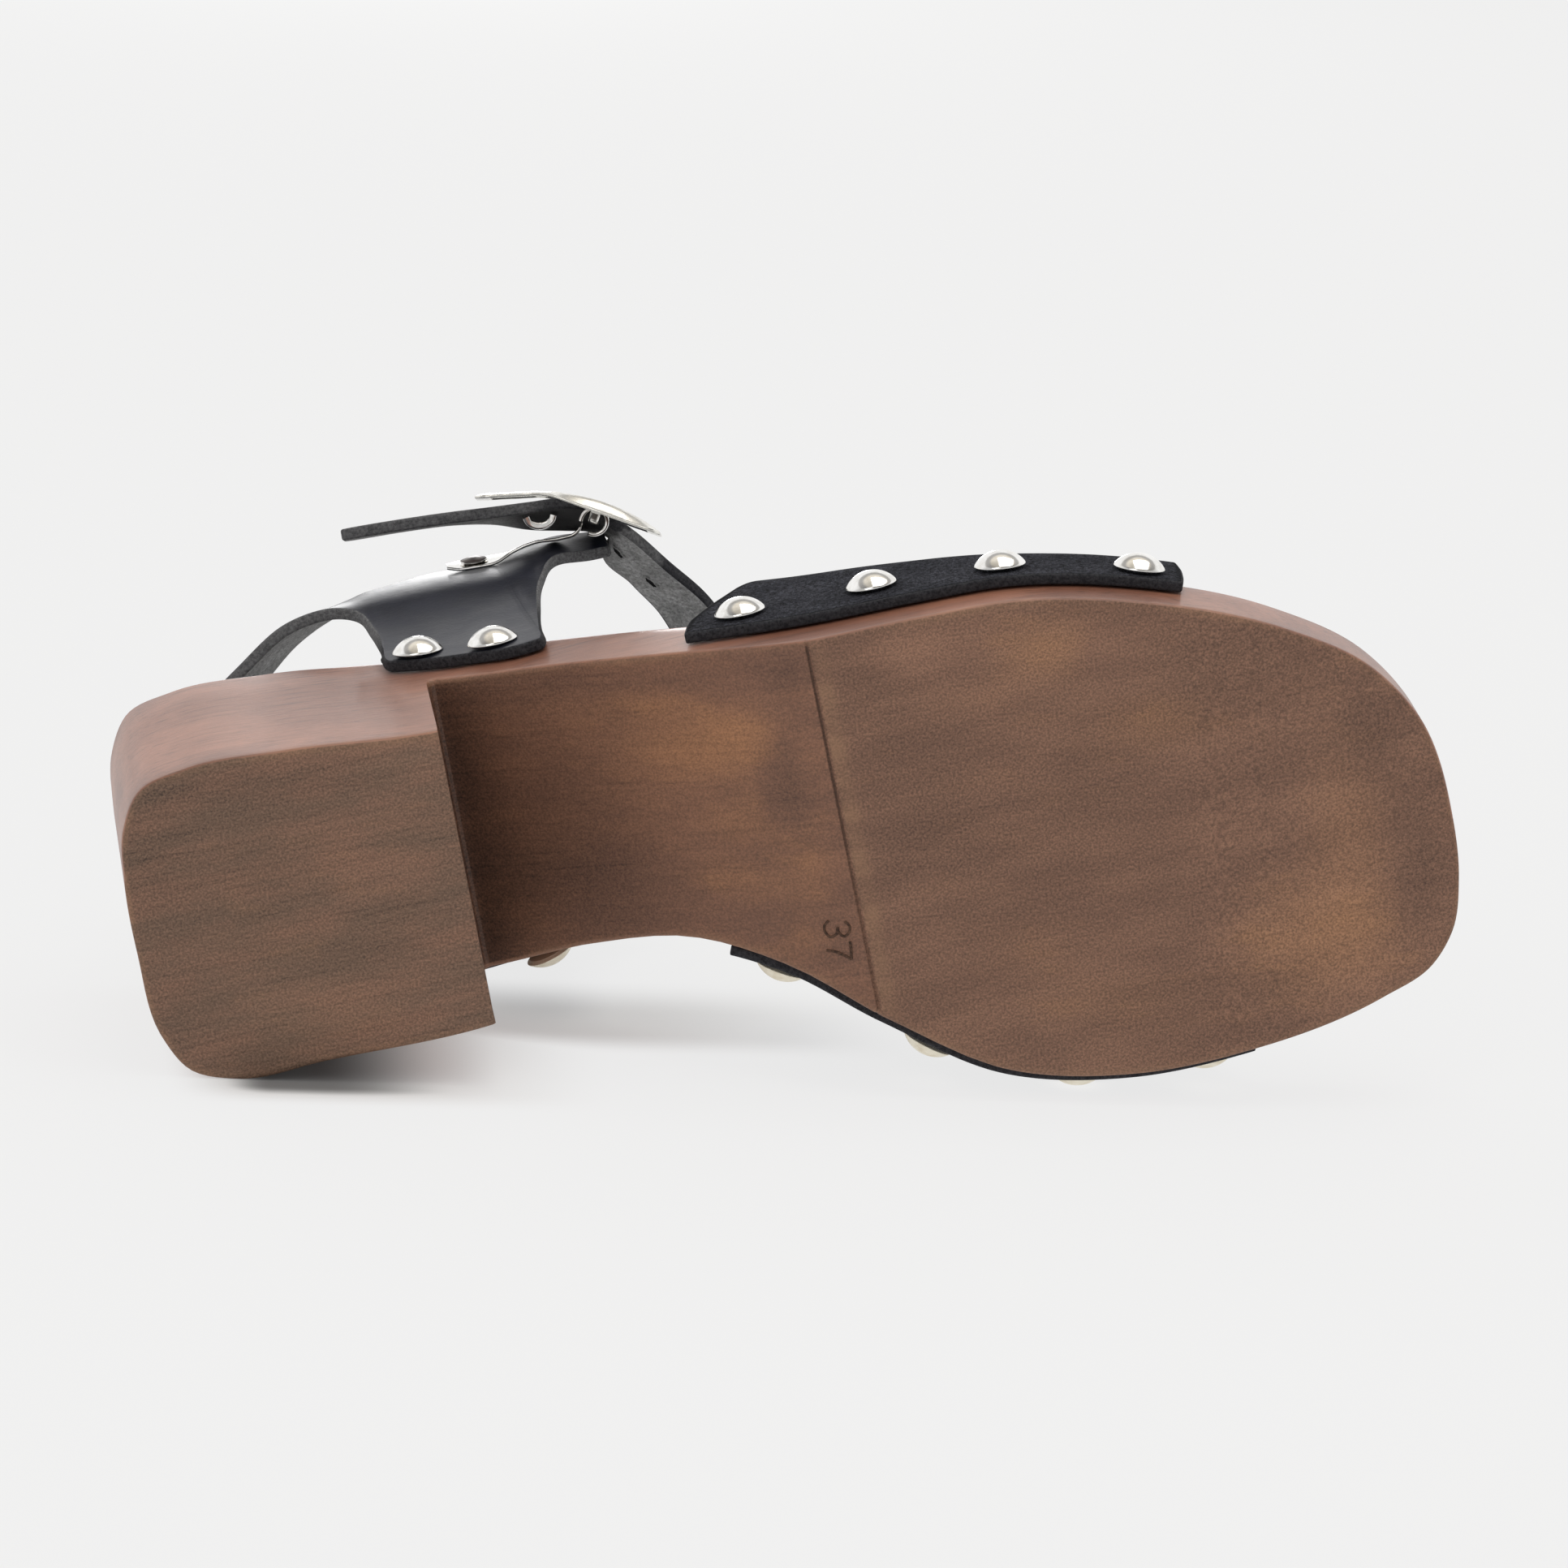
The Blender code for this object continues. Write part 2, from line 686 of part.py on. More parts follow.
def make_quarter_studs(material):
    """Studs through the nailed bases, seated on the leather."""
    studs = []
    curve = strap_curve()
    front_outer, rear_outer, rear_inner, front_inner = (row * STRAP_STEPS for row in strap_corners())
    for side, front, rear in (("outer", front_outer, rear_outer), ("inner", front_inner, rear_inner)):
        for number, along in enumerate(QUARTER_STUDS, start=1):
            place = front + (rear - front) * along
            height = np.linalg.norm(strap_point(curve, place, 1.0) - strap_point(curve, place, 0.0))
            share = QUARTER_STUD_RISE / height
            step = STUD_RADIUS / height
            base = strap_point(curve, place, share)
            rise = strap_point(curve, place, share + step) - strap_point(curve, place, share - step)
            ahead = strap_point(curve, place + 1.0, share) - strap_point(curve, place - 1.0, share)
            normal = np.cross(rise, ahead)
            normal /= np.linalg.norm(normal)
            base = base + normal * (STRAP_THICK / 2 + STUD_GAP)
            name = f"quarter_stud_{side}_{number}"
            studs.append(make_dome(name, base, normal, STUD_RADIUS, STUD_DOME, STUD_RIM, material))
    return studs


def make_buckle(material):
    """Bent frame of sheet metal with two side rails and three bars."""
    line = np.array(BUCKLE_LINE)
    reach = np.concatenate([[0.0], np.cumsum(np.linalg.norm(np.diff(line, axis=0), axis=1))])
    bars = ((0.0, BUCKLE_RAIL), (BUCKLE_BAR_AT - BUCKLE_BAR / 2, BUCKLE_BAR_AT + BUCKLE_BAR / 2),
            (reach[-1] - BUCKLE_RAIL, reach[-1]))
    marks = sorted({mark for bar in bars for mark in bar} | {float(reach[1])})
    inside = BUCKLE_HALF_WIDTH - BUCKLE_RAIL
    flat = inside - BUCKLE_BAR_SLOPE
    widths = (-BUCKLE_HALF_WIDTH, -inside, -flat, flat, inside, BUCKLE_HALF_WIDTH)
    solid = Solid()
    rows = []
    for mark in marks:
        x, y = (np.interp(mark, reach, line[:, axis]) for axis in (0, 1))
        middle = np.array((x, y, BUCKLE_HEIGHT))
        wing = line[1] - line[0] if mark < reach[1] else line[2] - line[1]
        inward = np.array((-wing[1], wing[0], 0.0)) / np.linalg.norm(wing)
        drop = BUCKLE_BAR_DROP if mark in bars[1] else 0.0
        rows.append(solid.add(middle + width * BUCKLE_ACROSS + (drop * inward if abs(width) <= flat else 0.0)
                              for width in widths))
    rails = (0, len(widths) - 2)
    for index in range(len(marks) - 1):
        in_bar = any(start <= marks[index] and marks[index + 1] <= end for start, end in bars)
        before, after = rows[index], rows[index + 1]
        for place in range(len(widths) - 1):
            if place in rails or in_bar:
                solid.faces.append((before[place], after[place], after[place + 1], before[place + 1]))
    return thicken(solid.make("buckle_frame", material), BUCKLE_THICK)


def make_strip(name, line, width, material, shift=0.0, steps=3):
    """Bent strip of sheet metal, moved across by the shift."""
    grid = []
    for x, y in smooth_curve(line, steps):
        middle = np.array((x, y, BUCKLE_HEIGHT)) + shift * BUCKLE_ACROSS
        grid.append([middle + share * width / 2 * BUCKLE_ACROSS for share in (-1.0, 1.0)])
    return sheet(name, grid, SHEET_THICK, material)


def make_hook_ring(material):
    angles = np.linspace(*HOOK_RING_SPAN, HOOK_RING_STEPS + 1)
    x, y = HOOK_RING_MIDDLE
    line = [(x + HOOK_RING_RADIUS * math.cos(a), y + HOOK_RING_RADIUS * math.sin(a)) for a in angles]
    return make_strip("hook_ring", line, HOOK_RING_WIDTH, material, HOOK_RING_SHIFT, 1)


def make_rivet(material):
    line = np.array(HOOK_PLATE_LINE)
    normal = np.array((line[2][1] - line[1][1], -(line[2][0] - line[1][0]), 0.0))
    normal -= BUCKLE_ACROSS * (normal @ BUCKLE_ACROSS) / (BUCKLE_ACROSS @ BUCKLE_ACROSS)
    place = np.array((*RIVET_AT, BUCKLE_HEIGHT))
    return make_dome("plate_rivet", place, normal, RIVET_RADIUS, RIVET_DOME, STUD_RIM, material)


def main():
    for thing in list(bpy.data.objects):
        bpy.data.objects.remove(thing, do_unlink=True)
    wood = make_material("stained_wood", (0.22, 0.095, 0.052), 0.45)
    suede = make_material("black_suede", (0.012, 0.012, 0.014), 0.95)
    leather = make_material("black_leather", (0.015, 0.016, 0.02), 0.4)
    lining = make_material("insole_leather", (0.03, 0.026, 0.024), 0.6)
    nickel = make_material("nickel", (0.78, 0.76, 0.72), 0.12, 1.0)
    lying = bpy.data.objects.new("lying_shoe", None)
    bpy.context.scene.collection.objects.link(lying)
    sole, cutter = make_sole(wood)
    things = [sole, cutter, make_insole(lining), make_band(suede), make_straps(leather)]
    things += make_band_studs(nickel) + make_quarter_studs(nickel)
    things += [make_buckle(nickel), make_strip("hook_plate", HOOK_PLATE_LINE, HOOK_PLATE_WIDTH, nickel),
               make_strip("bar_clip", BAR_CLIP_LINE, BAR_CLIP_WIDTH, nickel), make_hook_ring(nickel),
               make_rivet(nickel)]
    for thing in things:
        thing.parent = lying
    lying.rotation_euler = (LIE_ROLL, -LIE_LIFT, 0.0)
    lying.location = LIE_ORIGIN


main()
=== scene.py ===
"""Dressed right clog sandal lying on its inner side on a plain pale floor."""
import functools
import math

import bmesh
import bpy
import numpy as np
from mathutils import Matrix


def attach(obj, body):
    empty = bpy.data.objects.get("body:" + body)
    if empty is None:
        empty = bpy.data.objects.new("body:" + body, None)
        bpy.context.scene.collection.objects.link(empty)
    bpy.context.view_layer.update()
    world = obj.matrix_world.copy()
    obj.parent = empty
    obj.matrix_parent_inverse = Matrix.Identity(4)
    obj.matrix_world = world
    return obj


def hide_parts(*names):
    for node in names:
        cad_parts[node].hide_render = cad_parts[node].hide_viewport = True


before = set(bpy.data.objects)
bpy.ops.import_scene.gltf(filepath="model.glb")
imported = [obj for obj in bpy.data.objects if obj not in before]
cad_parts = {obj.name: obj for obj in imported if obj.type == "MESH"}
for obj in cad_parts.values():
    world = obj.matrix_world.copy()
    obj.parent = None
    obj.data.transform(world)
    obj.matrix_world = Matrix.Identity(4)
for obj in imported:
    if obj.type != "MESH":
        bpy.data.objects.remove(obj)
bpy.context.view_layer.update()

MM = 0.001
TINY = 1e-9

# Driving sizes in millimetres, in the shoe's own frame:
# x runs from heel to toe, y towards the inner side of the foot, z up from the ground.
LENGTH = 244.0
HEEL_HEIGHT = 64.0
PLATFORM = 23.5
TOE_SPRING = 6.0
SPRING_START = 190.0
TOP_EDGE_RADIUS = 4.0
FOOTBED_DISH = 1.2
GAP = 0.3
BASE_GAP = 0.45

# The heel block is turned against the shoe's axis, about the middle of the heel seat.
HEEL_TURN = math.radians(6.2)
HEEL_MIDDLE = 30.0

# Lying pose: turned onto the inner side, then lifted at the toe so that heel and band studs touch.
LIE_LIFT = math.radians(7.522)
LIE_ORIGIN = (-0.121111, -0.060440, 0.028457)

# Outline of the sole around from the back of the heel along the outer side, in the columns along, across.
OUTLINE = (
    (-0.2, -8.0), (0.4, -17.5), (3.8, -24.5), (12.5, -27.9), (30.5, -29.6), (59.0, -30.6), (81.5, -34.6),
    (105.5, -38.3), (127.5, -40.8), (148.0, -43.2), (166.0, -44.6), (188.0, -42.2), (214.5, -34.3),
    (230.0, -25.2), (238.5, -14.5), (243.6, 5.5), (244.0, 17.0), (242.2, 26.6), (237.8, 32.7),
    (228.2, 37.4), (202.5, 44.3), (181.0, 46.5), (158.0, 43.4), (136.0, 31.3), (119.5, 21.3),
    (103.0, 16.8), (85.0, 19.3), (65.5, 25.2), (33.5, 29.2), (17.0, 31.0), (8.7, 28.5), (4.1, 21.9),
    (1.0, 6.0),
)
TOE_KNOT = 15

# Side profile along the heel's axis, in the columns along, height.
FOOTBED = (
    (-20.0, HEEL_HEIGHT), (45.0, HEEL_HEIGHT), (62.0, 60.8), (73.0, 55.8), (85.0, 49.2), (98.0, 41.2),
    (109.0, 34.4), (120.0, 28.6), (131.0, 25.2), (145.0, PLATFORM), (260.0, PLATFORM),
)

INSOLE_INSET = 4.5
INSOLE_THICK = 1.6
INSOLE_EDGE = 0.5
# The insole's edge is cut off at this share of its depth.
INSOLE_SOFT = 0.3

BAND_THICK = 2.0
BAND_FULLNESS = 0.62
# Edges of the band from the outer foot over the crown to the inner foot, in the columns share, rear, front.
BAND_EDGES = (
    (0.00, 106.3, 196.8),
    (0.03, 107.4, 197.3),
    (0.06, 109.8, 197.6),
    (0.09, 112.8, 197.8),
    (0.13, 117.4, 197.6),
    (0.16, 120.6, 197.4),
    (0.20, 124.4, 197.2),
    (0.30, 129.0, 195.5),
    (0.50, 133.4, 189.0),
    (0.70, 128.0, 195.0),
    (0.87, 117.0, 203.0),
    (1.00, 110.0, 204.0),
)
BAND_FOOT_SHARE = 0.13
# Lower edge of the band, in the columns along, outer height, inner height.
BAND_LOW = (
    (100.0, 16.5, 17.5),
    (107.0, 15.0, 15.5),
    (120.0, 12.0, 11.0),
    (133.0, 10.2, 7.6),
    (150.0, 10.0, 7.0),
    (165.0, 10.0, 7.0),
    (190.0, 10.5, 7.5),
    (210.0, 11.5, 8.5),
)
# Crown of the band, in the columns along, height above the footbed, shift to the inner side,
# upright part of the sides.
BAND_CROWN = (
    (100.0, 58.0, 2.0, 8.0),
    (120.0, 53.0, 2.5, 13.0),
    (132.0, 49.0, 3.0, 12.5),
    (150.0, 42.5, 4.0, 9.5),
    (170.0, 36.5, 5.0, 3.5),
    (189.0, 31.5, 5.0, 4.0),
    (210.0, 27.0, 5.0, 5.0),
)

STRAP_THICK = 2.2
# Outward bow of the quarters and the heights between which it swells.
QUARTER_BOW = 1.5
BOW_HEIGHTS = (42.0, 111.0)
# Either quarter with its half of the heel strap, in the heel's own frame: along its axis, out from it,
# height. Columns: low along, low out, low height, high along, high out, high height, share of the bow.
# Where low out is None the edge lies on the sole's wall.
QUARTER = (
    (101.8, 30.0, 102.5, 101.2, 31.2, 111.5, 0.0),
    (96.4, 30.0, 100.8, 95.0, 31.2, 112.0, 0.3),
    (91.7, 30.2, 96.5, 89.3, 30.6, 112.0, 0.6),
    (87.6, 30.1, 84.5, 84.8, 30.0, 112.0, 0.9),
    (85.6, 30.0, 66.0, 81.8, 29.5, 111.8, 1.0),
    (84.8, None, 48.0, 80.1, 29.2, 111.5, 1.0),
    (84.7, None, 40.0, 79.4, 29.2, 111.3, 1.0),
    (84.3, None, 38.3, 79.0, 29.2, 111.2, 1.0),
    (82.6, None, 37.7, 77.8, 29.3, 110.8, 1.0),
    (69.6, None, 43.4, 66.4, 29.9, 108.5, 1.0),
    (58.4, None, 49.2, 59.0, 30.0, 104.2, 1.0),
    (56.5, None, 50.2, 58.0, 30.0, 103.8, 1.0),
    (55.9, None, 52.2, 57.3, 30.0, 103.5, 1.0),
    (55.8, 29.2, 59.0, 56.5, 30.0, 103.0, 0.9),
    (55.6, 29.35, 66.0, 55.6, 30.0, 102.5, 0.8),
    (54.8, 29.7, 74.0, 54.1, 29.9, 101.5, 0.4),
    (52.6, 30.2, 84.0, 52.1, 29.6, 100.5, 0.0),
    (48.1, 31.0, 87.0, 47.9, 28.8, 100.0, 0.0),
    (39.4, 30.4, 88.5, 40.5, 25.6, 100.4, 0.0),
    (29.4, 24.5, 89.5, 31.8, 18.8, 101.0, 0.0),
    (19.0, 15.6, 90.5, 22.6, 11.6, 101.8, 0.0),
)
HEEL_BACK = (13.0, 0.0, 91.0, 17.5, 0.0, 102.2, 0.0)
INNER_TAB_ROW = 1
# Instep strap from the inner quarter over the instep to the buckle, in the shoe's frame.
# Columns: low x, low y, low z, high x, high y, high z.
INSTEP = (
    (112.5, 14.8, 107.5, 104.3, 11.5, 117.0),
    (124.0, -6.6, 115.0, 113.8, -4.5, 120.0),
    (116.8, -23.7, 111.5, 108.8, -20.8, 118.0),
    (109.2, -32.8, 106.0, 103.3, -28.6, 115.0),
    (101.7, -41.6, 100.2, 98.5, -36.0, 111.2),
)
# Line of the strap's near edge over the buckle's bar and along the free end, with the twist that sets its
# far edge lower, in the columns x, y, half width, twist.
FREE_END = (
    (99.6, -42.4, 6.3, 2.6),
    (98.6, -44.2, 6.3, 3.4),
    (96.9, -45.5, 6.3, 3.8),
    (94.4, -46.4, 6.3, 4.0),
    (90.5, -46.9, 6.3, 4.0),
    (84.0, -46.7, 6.3, 3.0),
    (77.0, -46.4, 6.3, 1.0),
    (70.0, -46.2, 6.3, 0.2),
    (60.0, -45.7, 6.3, 0.0),
    (50.5, -45.0, 6.2, 0.0),
    (48.6, -44.85, 4.4, 0.0),
)
BUCKLE_HEIGHT = 105.0
# Direction across strap and buckle where they stand off the outer side.
BUCKLE_ACROSS = np.array((0.067, 0.242, 0.968))

STUD_RADIUS = 4.8
STUD_DOME = 2.6
STUD_DOME_INNER = 2.2
# Studs lean up with the leather they hold.
STUD_LEAN = math.radians(2.5)
STUD_RIM = 0.2
STUD_GAP = 0.5
# Studs of the band, in the columns along, rise over the band's lower edge.
BAND_STUDS = {
    "outer": ((117.0, 8.0), (141.4, 10.0), (164.7, 7.2), (189.5, 5.8)),
    "inner": ((120.0, 6.0), (146.0, 6.4), (172.0, 8.0), (196.0, 8.0)),
}
# Studs of the quarters, in the columns side, number, along the heel's axis, height.
QUARTER_STUDS = (
    ("outer", 1, 61.7, 51.6),
    ("outer", 2, 76.2, 44.6),
    ("inner", 1, 59.0, 58.6),
    ("inner", 2, 74.6, 48.6),
)

# Bent line of the buckle frame at mid width, in the columns x, y: rear end, bend, front end.
BUCKLE_LINE = ((74.0, -49.9), (87.4, -49.3), (108.6, -39.4))
BUCKLE_HALF_WIDTH = 12.0
BUCKLE_RAIL = 2.8
BUCKLE_BAR_AT = 23.8
BUCKLE_BAR = 2.0
BUCKLE_BAR_THICK = 1.4
BUCKLE_BAR_ROUND = 0.5
BUCKLE_BAR_DROP = 1.9
BUCKLE_BAR_SLOPE = 1.2

# Bent strips of sheet metal at mid width, in the columns x, y.
HOOK_PLATE_LINE = (
    (67.4, -36.9), (69.5, -36.8), (73.0, -37.0), (77.4, -37.6), (80.2, -38.7), (84.6, -40.0),
    (89.6, -40.3), (92.3, -41.0), (93.4, -42.3), (93.8, -43.8),
)
# Widths of the strips by shares of their length.
HOOK_PLATE_WIDTHS = ((0.0, 3.0), (0.12, 6.6), (0.3, 7.0), (0.42, 4.6), (0.6, 5.6), (0.9, 5.0), (1.0, 3.6))
BAR_CLIP_WIDTHS = ((0.0, 4.6), (1.0, 4.6))
HOOK_RING_WIDTHS = ((0.0, 1.3), (1.0, 1.3))
BAR_CLIP_LINE = (
    (83.2, -45.3), (83.8, -43.9), (85.2, -43.0), (87.0, -43.1), (88.2, -44.0), (88.7, -45.2),
)
BAR_CLIP_THICK = 1.3
BAR_CLIP_SHIFT = -6.2
SHEET_THICK = 0.6
HOOK_RING_MIDDLE = (96.1, -42.8)
HOOK_RING_RADIUS = 2.5
HOOK_RING_SPAN = (math.radians(-170.0), math.radians(120.0))
HOOK_RING_THICK = 0.8
HOOK_RING_STEPS = 30
HOOK_RING_SHIFT = -7.25
RIVET_AT = (72.6, -37.6)
RIVET_RADIUS = 2.7
RIVET_DOME = 0.5
RIVET_SKIRT = 0.2
RIVET_RIM_RINGS = 5
# Turn of the plate's flat end and its rivet to the outer side's front.
PLATE_TWIST = math.radians(14.0)
# Turns of the strips by shares of their length.
PLATE_TWISTS = ((0.0, PLATE_TWIST), (0.3, PLATE_TWIST), (0.5, 0.0), (1.0, 0.0))
STRAIGHT = ((0.0, 0.0), (1.0, 0.0))

CURVE_STEPS = 20


def smooth_curve(rows, steps, closed=False):
    """Smooth curve through the rows, with the given number of steps between neighbours."""
    points = np.asarray(rows, float)
    count = len(points)
    if closed:
        ring = np.vstack([points[-1], points, points[:2]])
    else:
        ring = np.vstack([2 * points[0] - points[1], points, 2 * points[-1] - points[-2]])
    gaps = np.linalg.norm(np.diff(ring, axis=0), axis=1)[:, None]
    slopes = np.diff(ring, axis=0) / gaps
    tangents = (slopes[:-1] * gaps[1:] + slopes[1:] * gaps[:-1]) / (gaps[:-1] + gaps[1:])
    if closed:
        tangents = np.vstack([tangents, tangents[:1]])
    t = (np.arange(steps) / steps)[:, None]
    result = []
    for index in range(count if closed else count - 1):
        start, end = ring[index + 1], ring[index + 2]
        reach = gaps[index + 1]
        end_tangent = tangents[0] if closed and index == count - 1 else tangents[index + 1]
        leave = (2 * t ** 3 - 3 * t ** 2 + 1) * start + (t ** 3 - 2 * t ** 2 + t) * reach * tangents[index]
        arrive = (3 * t ** 2 - 2 * t ** 3) * end + (t ** 3 - t ** 2) * reach * end_tangent
        result.append(leave + arrive)
    if not closed:
        result.append(points[-1:])
    return np.vstack(result)


def spaced(points, count):
    """The same curve in the given number of pieces, closer together where its knots are close."""
    lengths = np.linalg.norm(np.diff(points, axis=0), axis=1)
    reach = np.concatenate([[0.0], np.cumsum(lengths / lengths.sum() + 1.0 / len(lengths))])
    marks = np.linspace(0.0, reach[-1], count + 1)
    return np.stack([np.interp(marks, reach, points[:, axis]) for axis in range(points.shape[1])], axis=1)


@functools.lru_cache(maxsize=None)
def curve_of(rows):
    return smooth_curve(rows, CURVE_STEPS)


def table(rows, at, column=1):
    """Smooth value of one column of a table at a value of its first column."""
    curve = curve_of(rows)
    return np.interp(at, curve[:, 0], curve[:, column])


RIM = smooth_curve(OUTLINE, CURVE_STEPS, closed=True)
OUTER_HALF = RIM[:TOE_KNOT * CURVE_STEPS + 1]
INNER_HALF = np.vstack([RIM[TOE_KNOT * CURVE_STEPS:], RIM[:1]])[::-1]


def rim_inward(points):
    """Direction into the sole at points of its outline."""
    ahead = np.roll(RIM, -1, axis=0) - np.roll(RIM, 1, axis=0)
    ahead /= np.linalg.norm(ahead, axis=1)[:, None]
    inward = np.stack([-ahead[:, 1], ahead[:, 0]], axis=1)
    nearest = [int(np.argmin(((RIM - point) ** 2).sum(axis=1))) for point in points]
    return inward[nearest]


def heel_along(x, y):
    """Distance along the heel's axis."""
    return HEEL_MIDDLE + (x - HEEL_MIDDLE) * math.cos(HEEL_TURN) - y * math.sin(HEEL_TURN)


def heel_across(x, y):
    """Distance across the heel's axis, towards the inner side."""
    return (x - HEEL_MIDDLE) * math.sin(HEEL_TURN) + y * math.cos(HEEL_TURN)


def from_heel(along, across, height):
    """Point of the shoe's frame from the heel's own frame."""
    reach = along - HEEL_MIDDLE
    return (HEEL_MIDDLE + reach * math.cos(HEEL_TURN) + across * math.sin(HEEL_TURN),
            -reach * math.sin(HEEL_TURN) + across * math.cos(HEEL_TURN), height)


def half_of(side):
    return OUTER_HALF if side == "outer" else INNER_HALF


def wall_across(x, side):
    """Place of the sole's wall at x on the outer or the inner side."""
    half = half_of(side)
    return float(np.interp(x, half[:, 0], half[:, 1]))


def wall_out(along, side):
    """Distance of the sole's wall from the heel's axis."""
    half = half_of(side)
    places = heel_along(half[:, 0], half[:, 1])
    return float(np.interp(along, places, np.abs(heel_across(half[:, 0], half[:, 1]))))


def ground_height(x):
    """Height of the sole's underside, which rises at the toe."""
    share = np.clip((x - SPRING_START) / (LENGTH - SPRING_START), 0.0, None)
    return TOE_SPRING * share ** 2


def footbed_height(x, y):
    """Height of the footbed's edge."""
    return table(FOOTBED, heel_along(x, y))


def dish(share):
    """Depth of the footbed's hollow at a share of its width."""
    return FOOTBED_DISH * 4.0 * share * (1.0 - share)


def lay_direction(way):
    """Direction in the world from the shoe's frame."""
    x, y, z = way
    c, s = math.cos(LIE_LIFT), math.sin(LIE_LIFT)
    return np.array((c * x + s * y, z, s * x - c * y))


def lay(points):
    """Places in the world, in metres, from the shoe's frame in millimetres."""
    x, y, z = np.asarray(points, float).T
    c, s = math.cos(LIE_LIFT), math.sin(LIE_LIFT)
    return np.stack([c * x + s * y, z, s * x - c * y], axis=1) * MM + np.array(LIE_ORIGIN)


class Solid:
    """Points and faces of one piece in millimetres, with a paint number per face and marks per point."""

    def __init__(self):
        self.points = []
        self.faces = []
        self.paints = []
        self.marks = {"worn": [], "tone": [], "warm": []}

    def add(self, points, **marks):
        first = len(self.points)
        self.points.extend(tuple(float(value) for value in point) for point in points)
        count = len(self.points) - first
        for name, values in self.marks.items():
            values.extend(np.broadcast_to(marks.get(name, 0.0), count).tolist())
        return list(range(first, first + count))

    def face(self, corners, paint=0):
        self.faces.append(tuple(corners))
        self.paints.append(paint)

    def join(self, lower, upper, closed=True, paint=0):
        count = len(lower)
        for index in range(count if closed else count - 1):
            after = (index + 1) % count
            self.face((lower[index], lower[after], upper[after], upper[index]), paint)

    def make(self, name, paints, slot, node=None, smooth_angle=40.0, weld=0.004):
        """Blender object of this piece, riding on the shoe."""
        mesh = bpy.data.meshes.new(name)
        mesh.from_pydata(lay(self.points).tolist(), [], self.faces)
        mesh.polygons.foreach_set("material_index", self.paints)
        place = mesh.attributes.new("place", "FLOAT_VECTOR", "POINT")
        place.data.foreach_set("vector", np.asarray(self.points, np.float32).ravel())
        for key, values in self.marks.items():
            mark = mesh.attributes.new(key, "FLOAT", "POINT")
            mark.data.foreach_set("value", np.asarray(values, np.float32))
        model = bmesh.new()
        model.from_mesh(mesh)
        bmesh.ops.remove_doubles(model, verts=model.verts, dist=weld * MM)
        bmesh.ops.dissolve_degenerate(model, edges=model.edges, dist=weld * MM / 2)
        loose = [point for point in model.verts if not point.link_faces]
        bmesh.ops.delete(model, geom=loose, context="VERTS")
        bmesh.ops.recalc_face_normals(model, faces=model.faces)
        model.to_mesh(mesh)
        model.free()
        mesh.shade_smooth()
        mesh.set_sharp_from_angle(angle=math.radians(smooth_angle))
        for paint in paints:
            mesh.materials.append(paint)
        thing = bpy.data.objects.new(name, mesh)
        bpy.context.scene.collection.objects.link(thing)
        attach(thing, "root")
        if node:
            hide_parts(node)
        return thing


def unit(ways):
    """Directions with a length of one."""
    ways = np.asarray(ways, float)
    return ways / np.maximum(np.linalg.norm(ways, axis=-1, keepdims=True), TINY)


def ramp(value, start, end):
    """Share from 0 to 1 of the way from start to end."""
    return np.clip((value - start) / (end - start), 0.0, 1.0)


# Zones of the sole along the heel's axis: the heel ends and the forefoot starts here.
HEEL_ZONE_END = 50.0
FORE_ZONE_START = 150.0
HEEL_ROWS = 40
FORE_ROWS = 72
UNDER_COLUMNS = 36
FOOTBED_COLUMNS = 16
RIM_RADIUS = 0.9
FILLET_FACES = 2
# One part in this many at each end of a half outline runs across the heel or the toe and is never cut.
END_PARTS = 8
# Steps of the wall: angles round its lower and upper rim, in degrees, and shares of the height between them.
RIM_ANGLES = (0.0, 22.5, 45.0, 67.5, 90.0)
TOP_ANGLES = (0.0, 15.0, 30.0, 45.0, 60.0, 75.0, 90.0)
WALL_SHARES = (0.03, 0.08, 0.16, 0.3, 0.5, 0.75)
# Wear of the lower rim and how far it reaches up the wall and in from the edge of the underside.
RIM_WEAR = 0.6
WALL_WEAR_REACH = 0.8
UNDER_WEAR_REACH = 1.3
SOLE_SMOOTH = 32.0

# Underside between the zones, in the columns along, height: the heel's rim, the breast, its hollow corner,
# the arch, the groove and the rounded rim in front of it.
UNDERSIDE = (
    (50.0, 0.0), (53.0, 0.0), (56.0, 0.0), (58.5, 0.0), (60.3, 0.0), (61.2, 0.0), (61.6, 0.08), (61.9, 0.3),
    (62.0, 0.8),
    (62.02, 3.0), (62.04, 8.0), (62.06, 14.0), (62.08, 20.0), (62.1, 26.0), (62.12, 31.0), (62.14, 35.0),
    (62.2, 37.4), (62.4, 38.7), (62.9, 39.4), (63.6, 39.6), (64.4, 39.3), (65.5, 38.6), (67.5, 37.35),
    (70.0, 35.7), (73.5, 33.4), (77.0, 31.2), (81.0, 28.75), (85.0, 26.2), (89.5, 23.35), (94.0, 20.4),
    (98.0, 17.8), (102.0, 15.2), (105.5, 13.0), (109.0, 10.8), (112.5, 8.7), (116.0, 6.7), (120.0, 4.6),
    (123.5, 2.95), (127.0, 1.6), (128.8, 0.98), (129.9, 0.62), (130.3, 0.52), (130.5, 0.75), (130.65, 0.85),
    (130.8, 0.82), (131.0, 0.5), (131.3, 0.24), (131.8, 0.1), (132.6, 0.02), (133.4, 0.0), (134.4, 0.0),
    (137.0, 0.0), (141.0, 0.0), (145.5, 0.0),
)
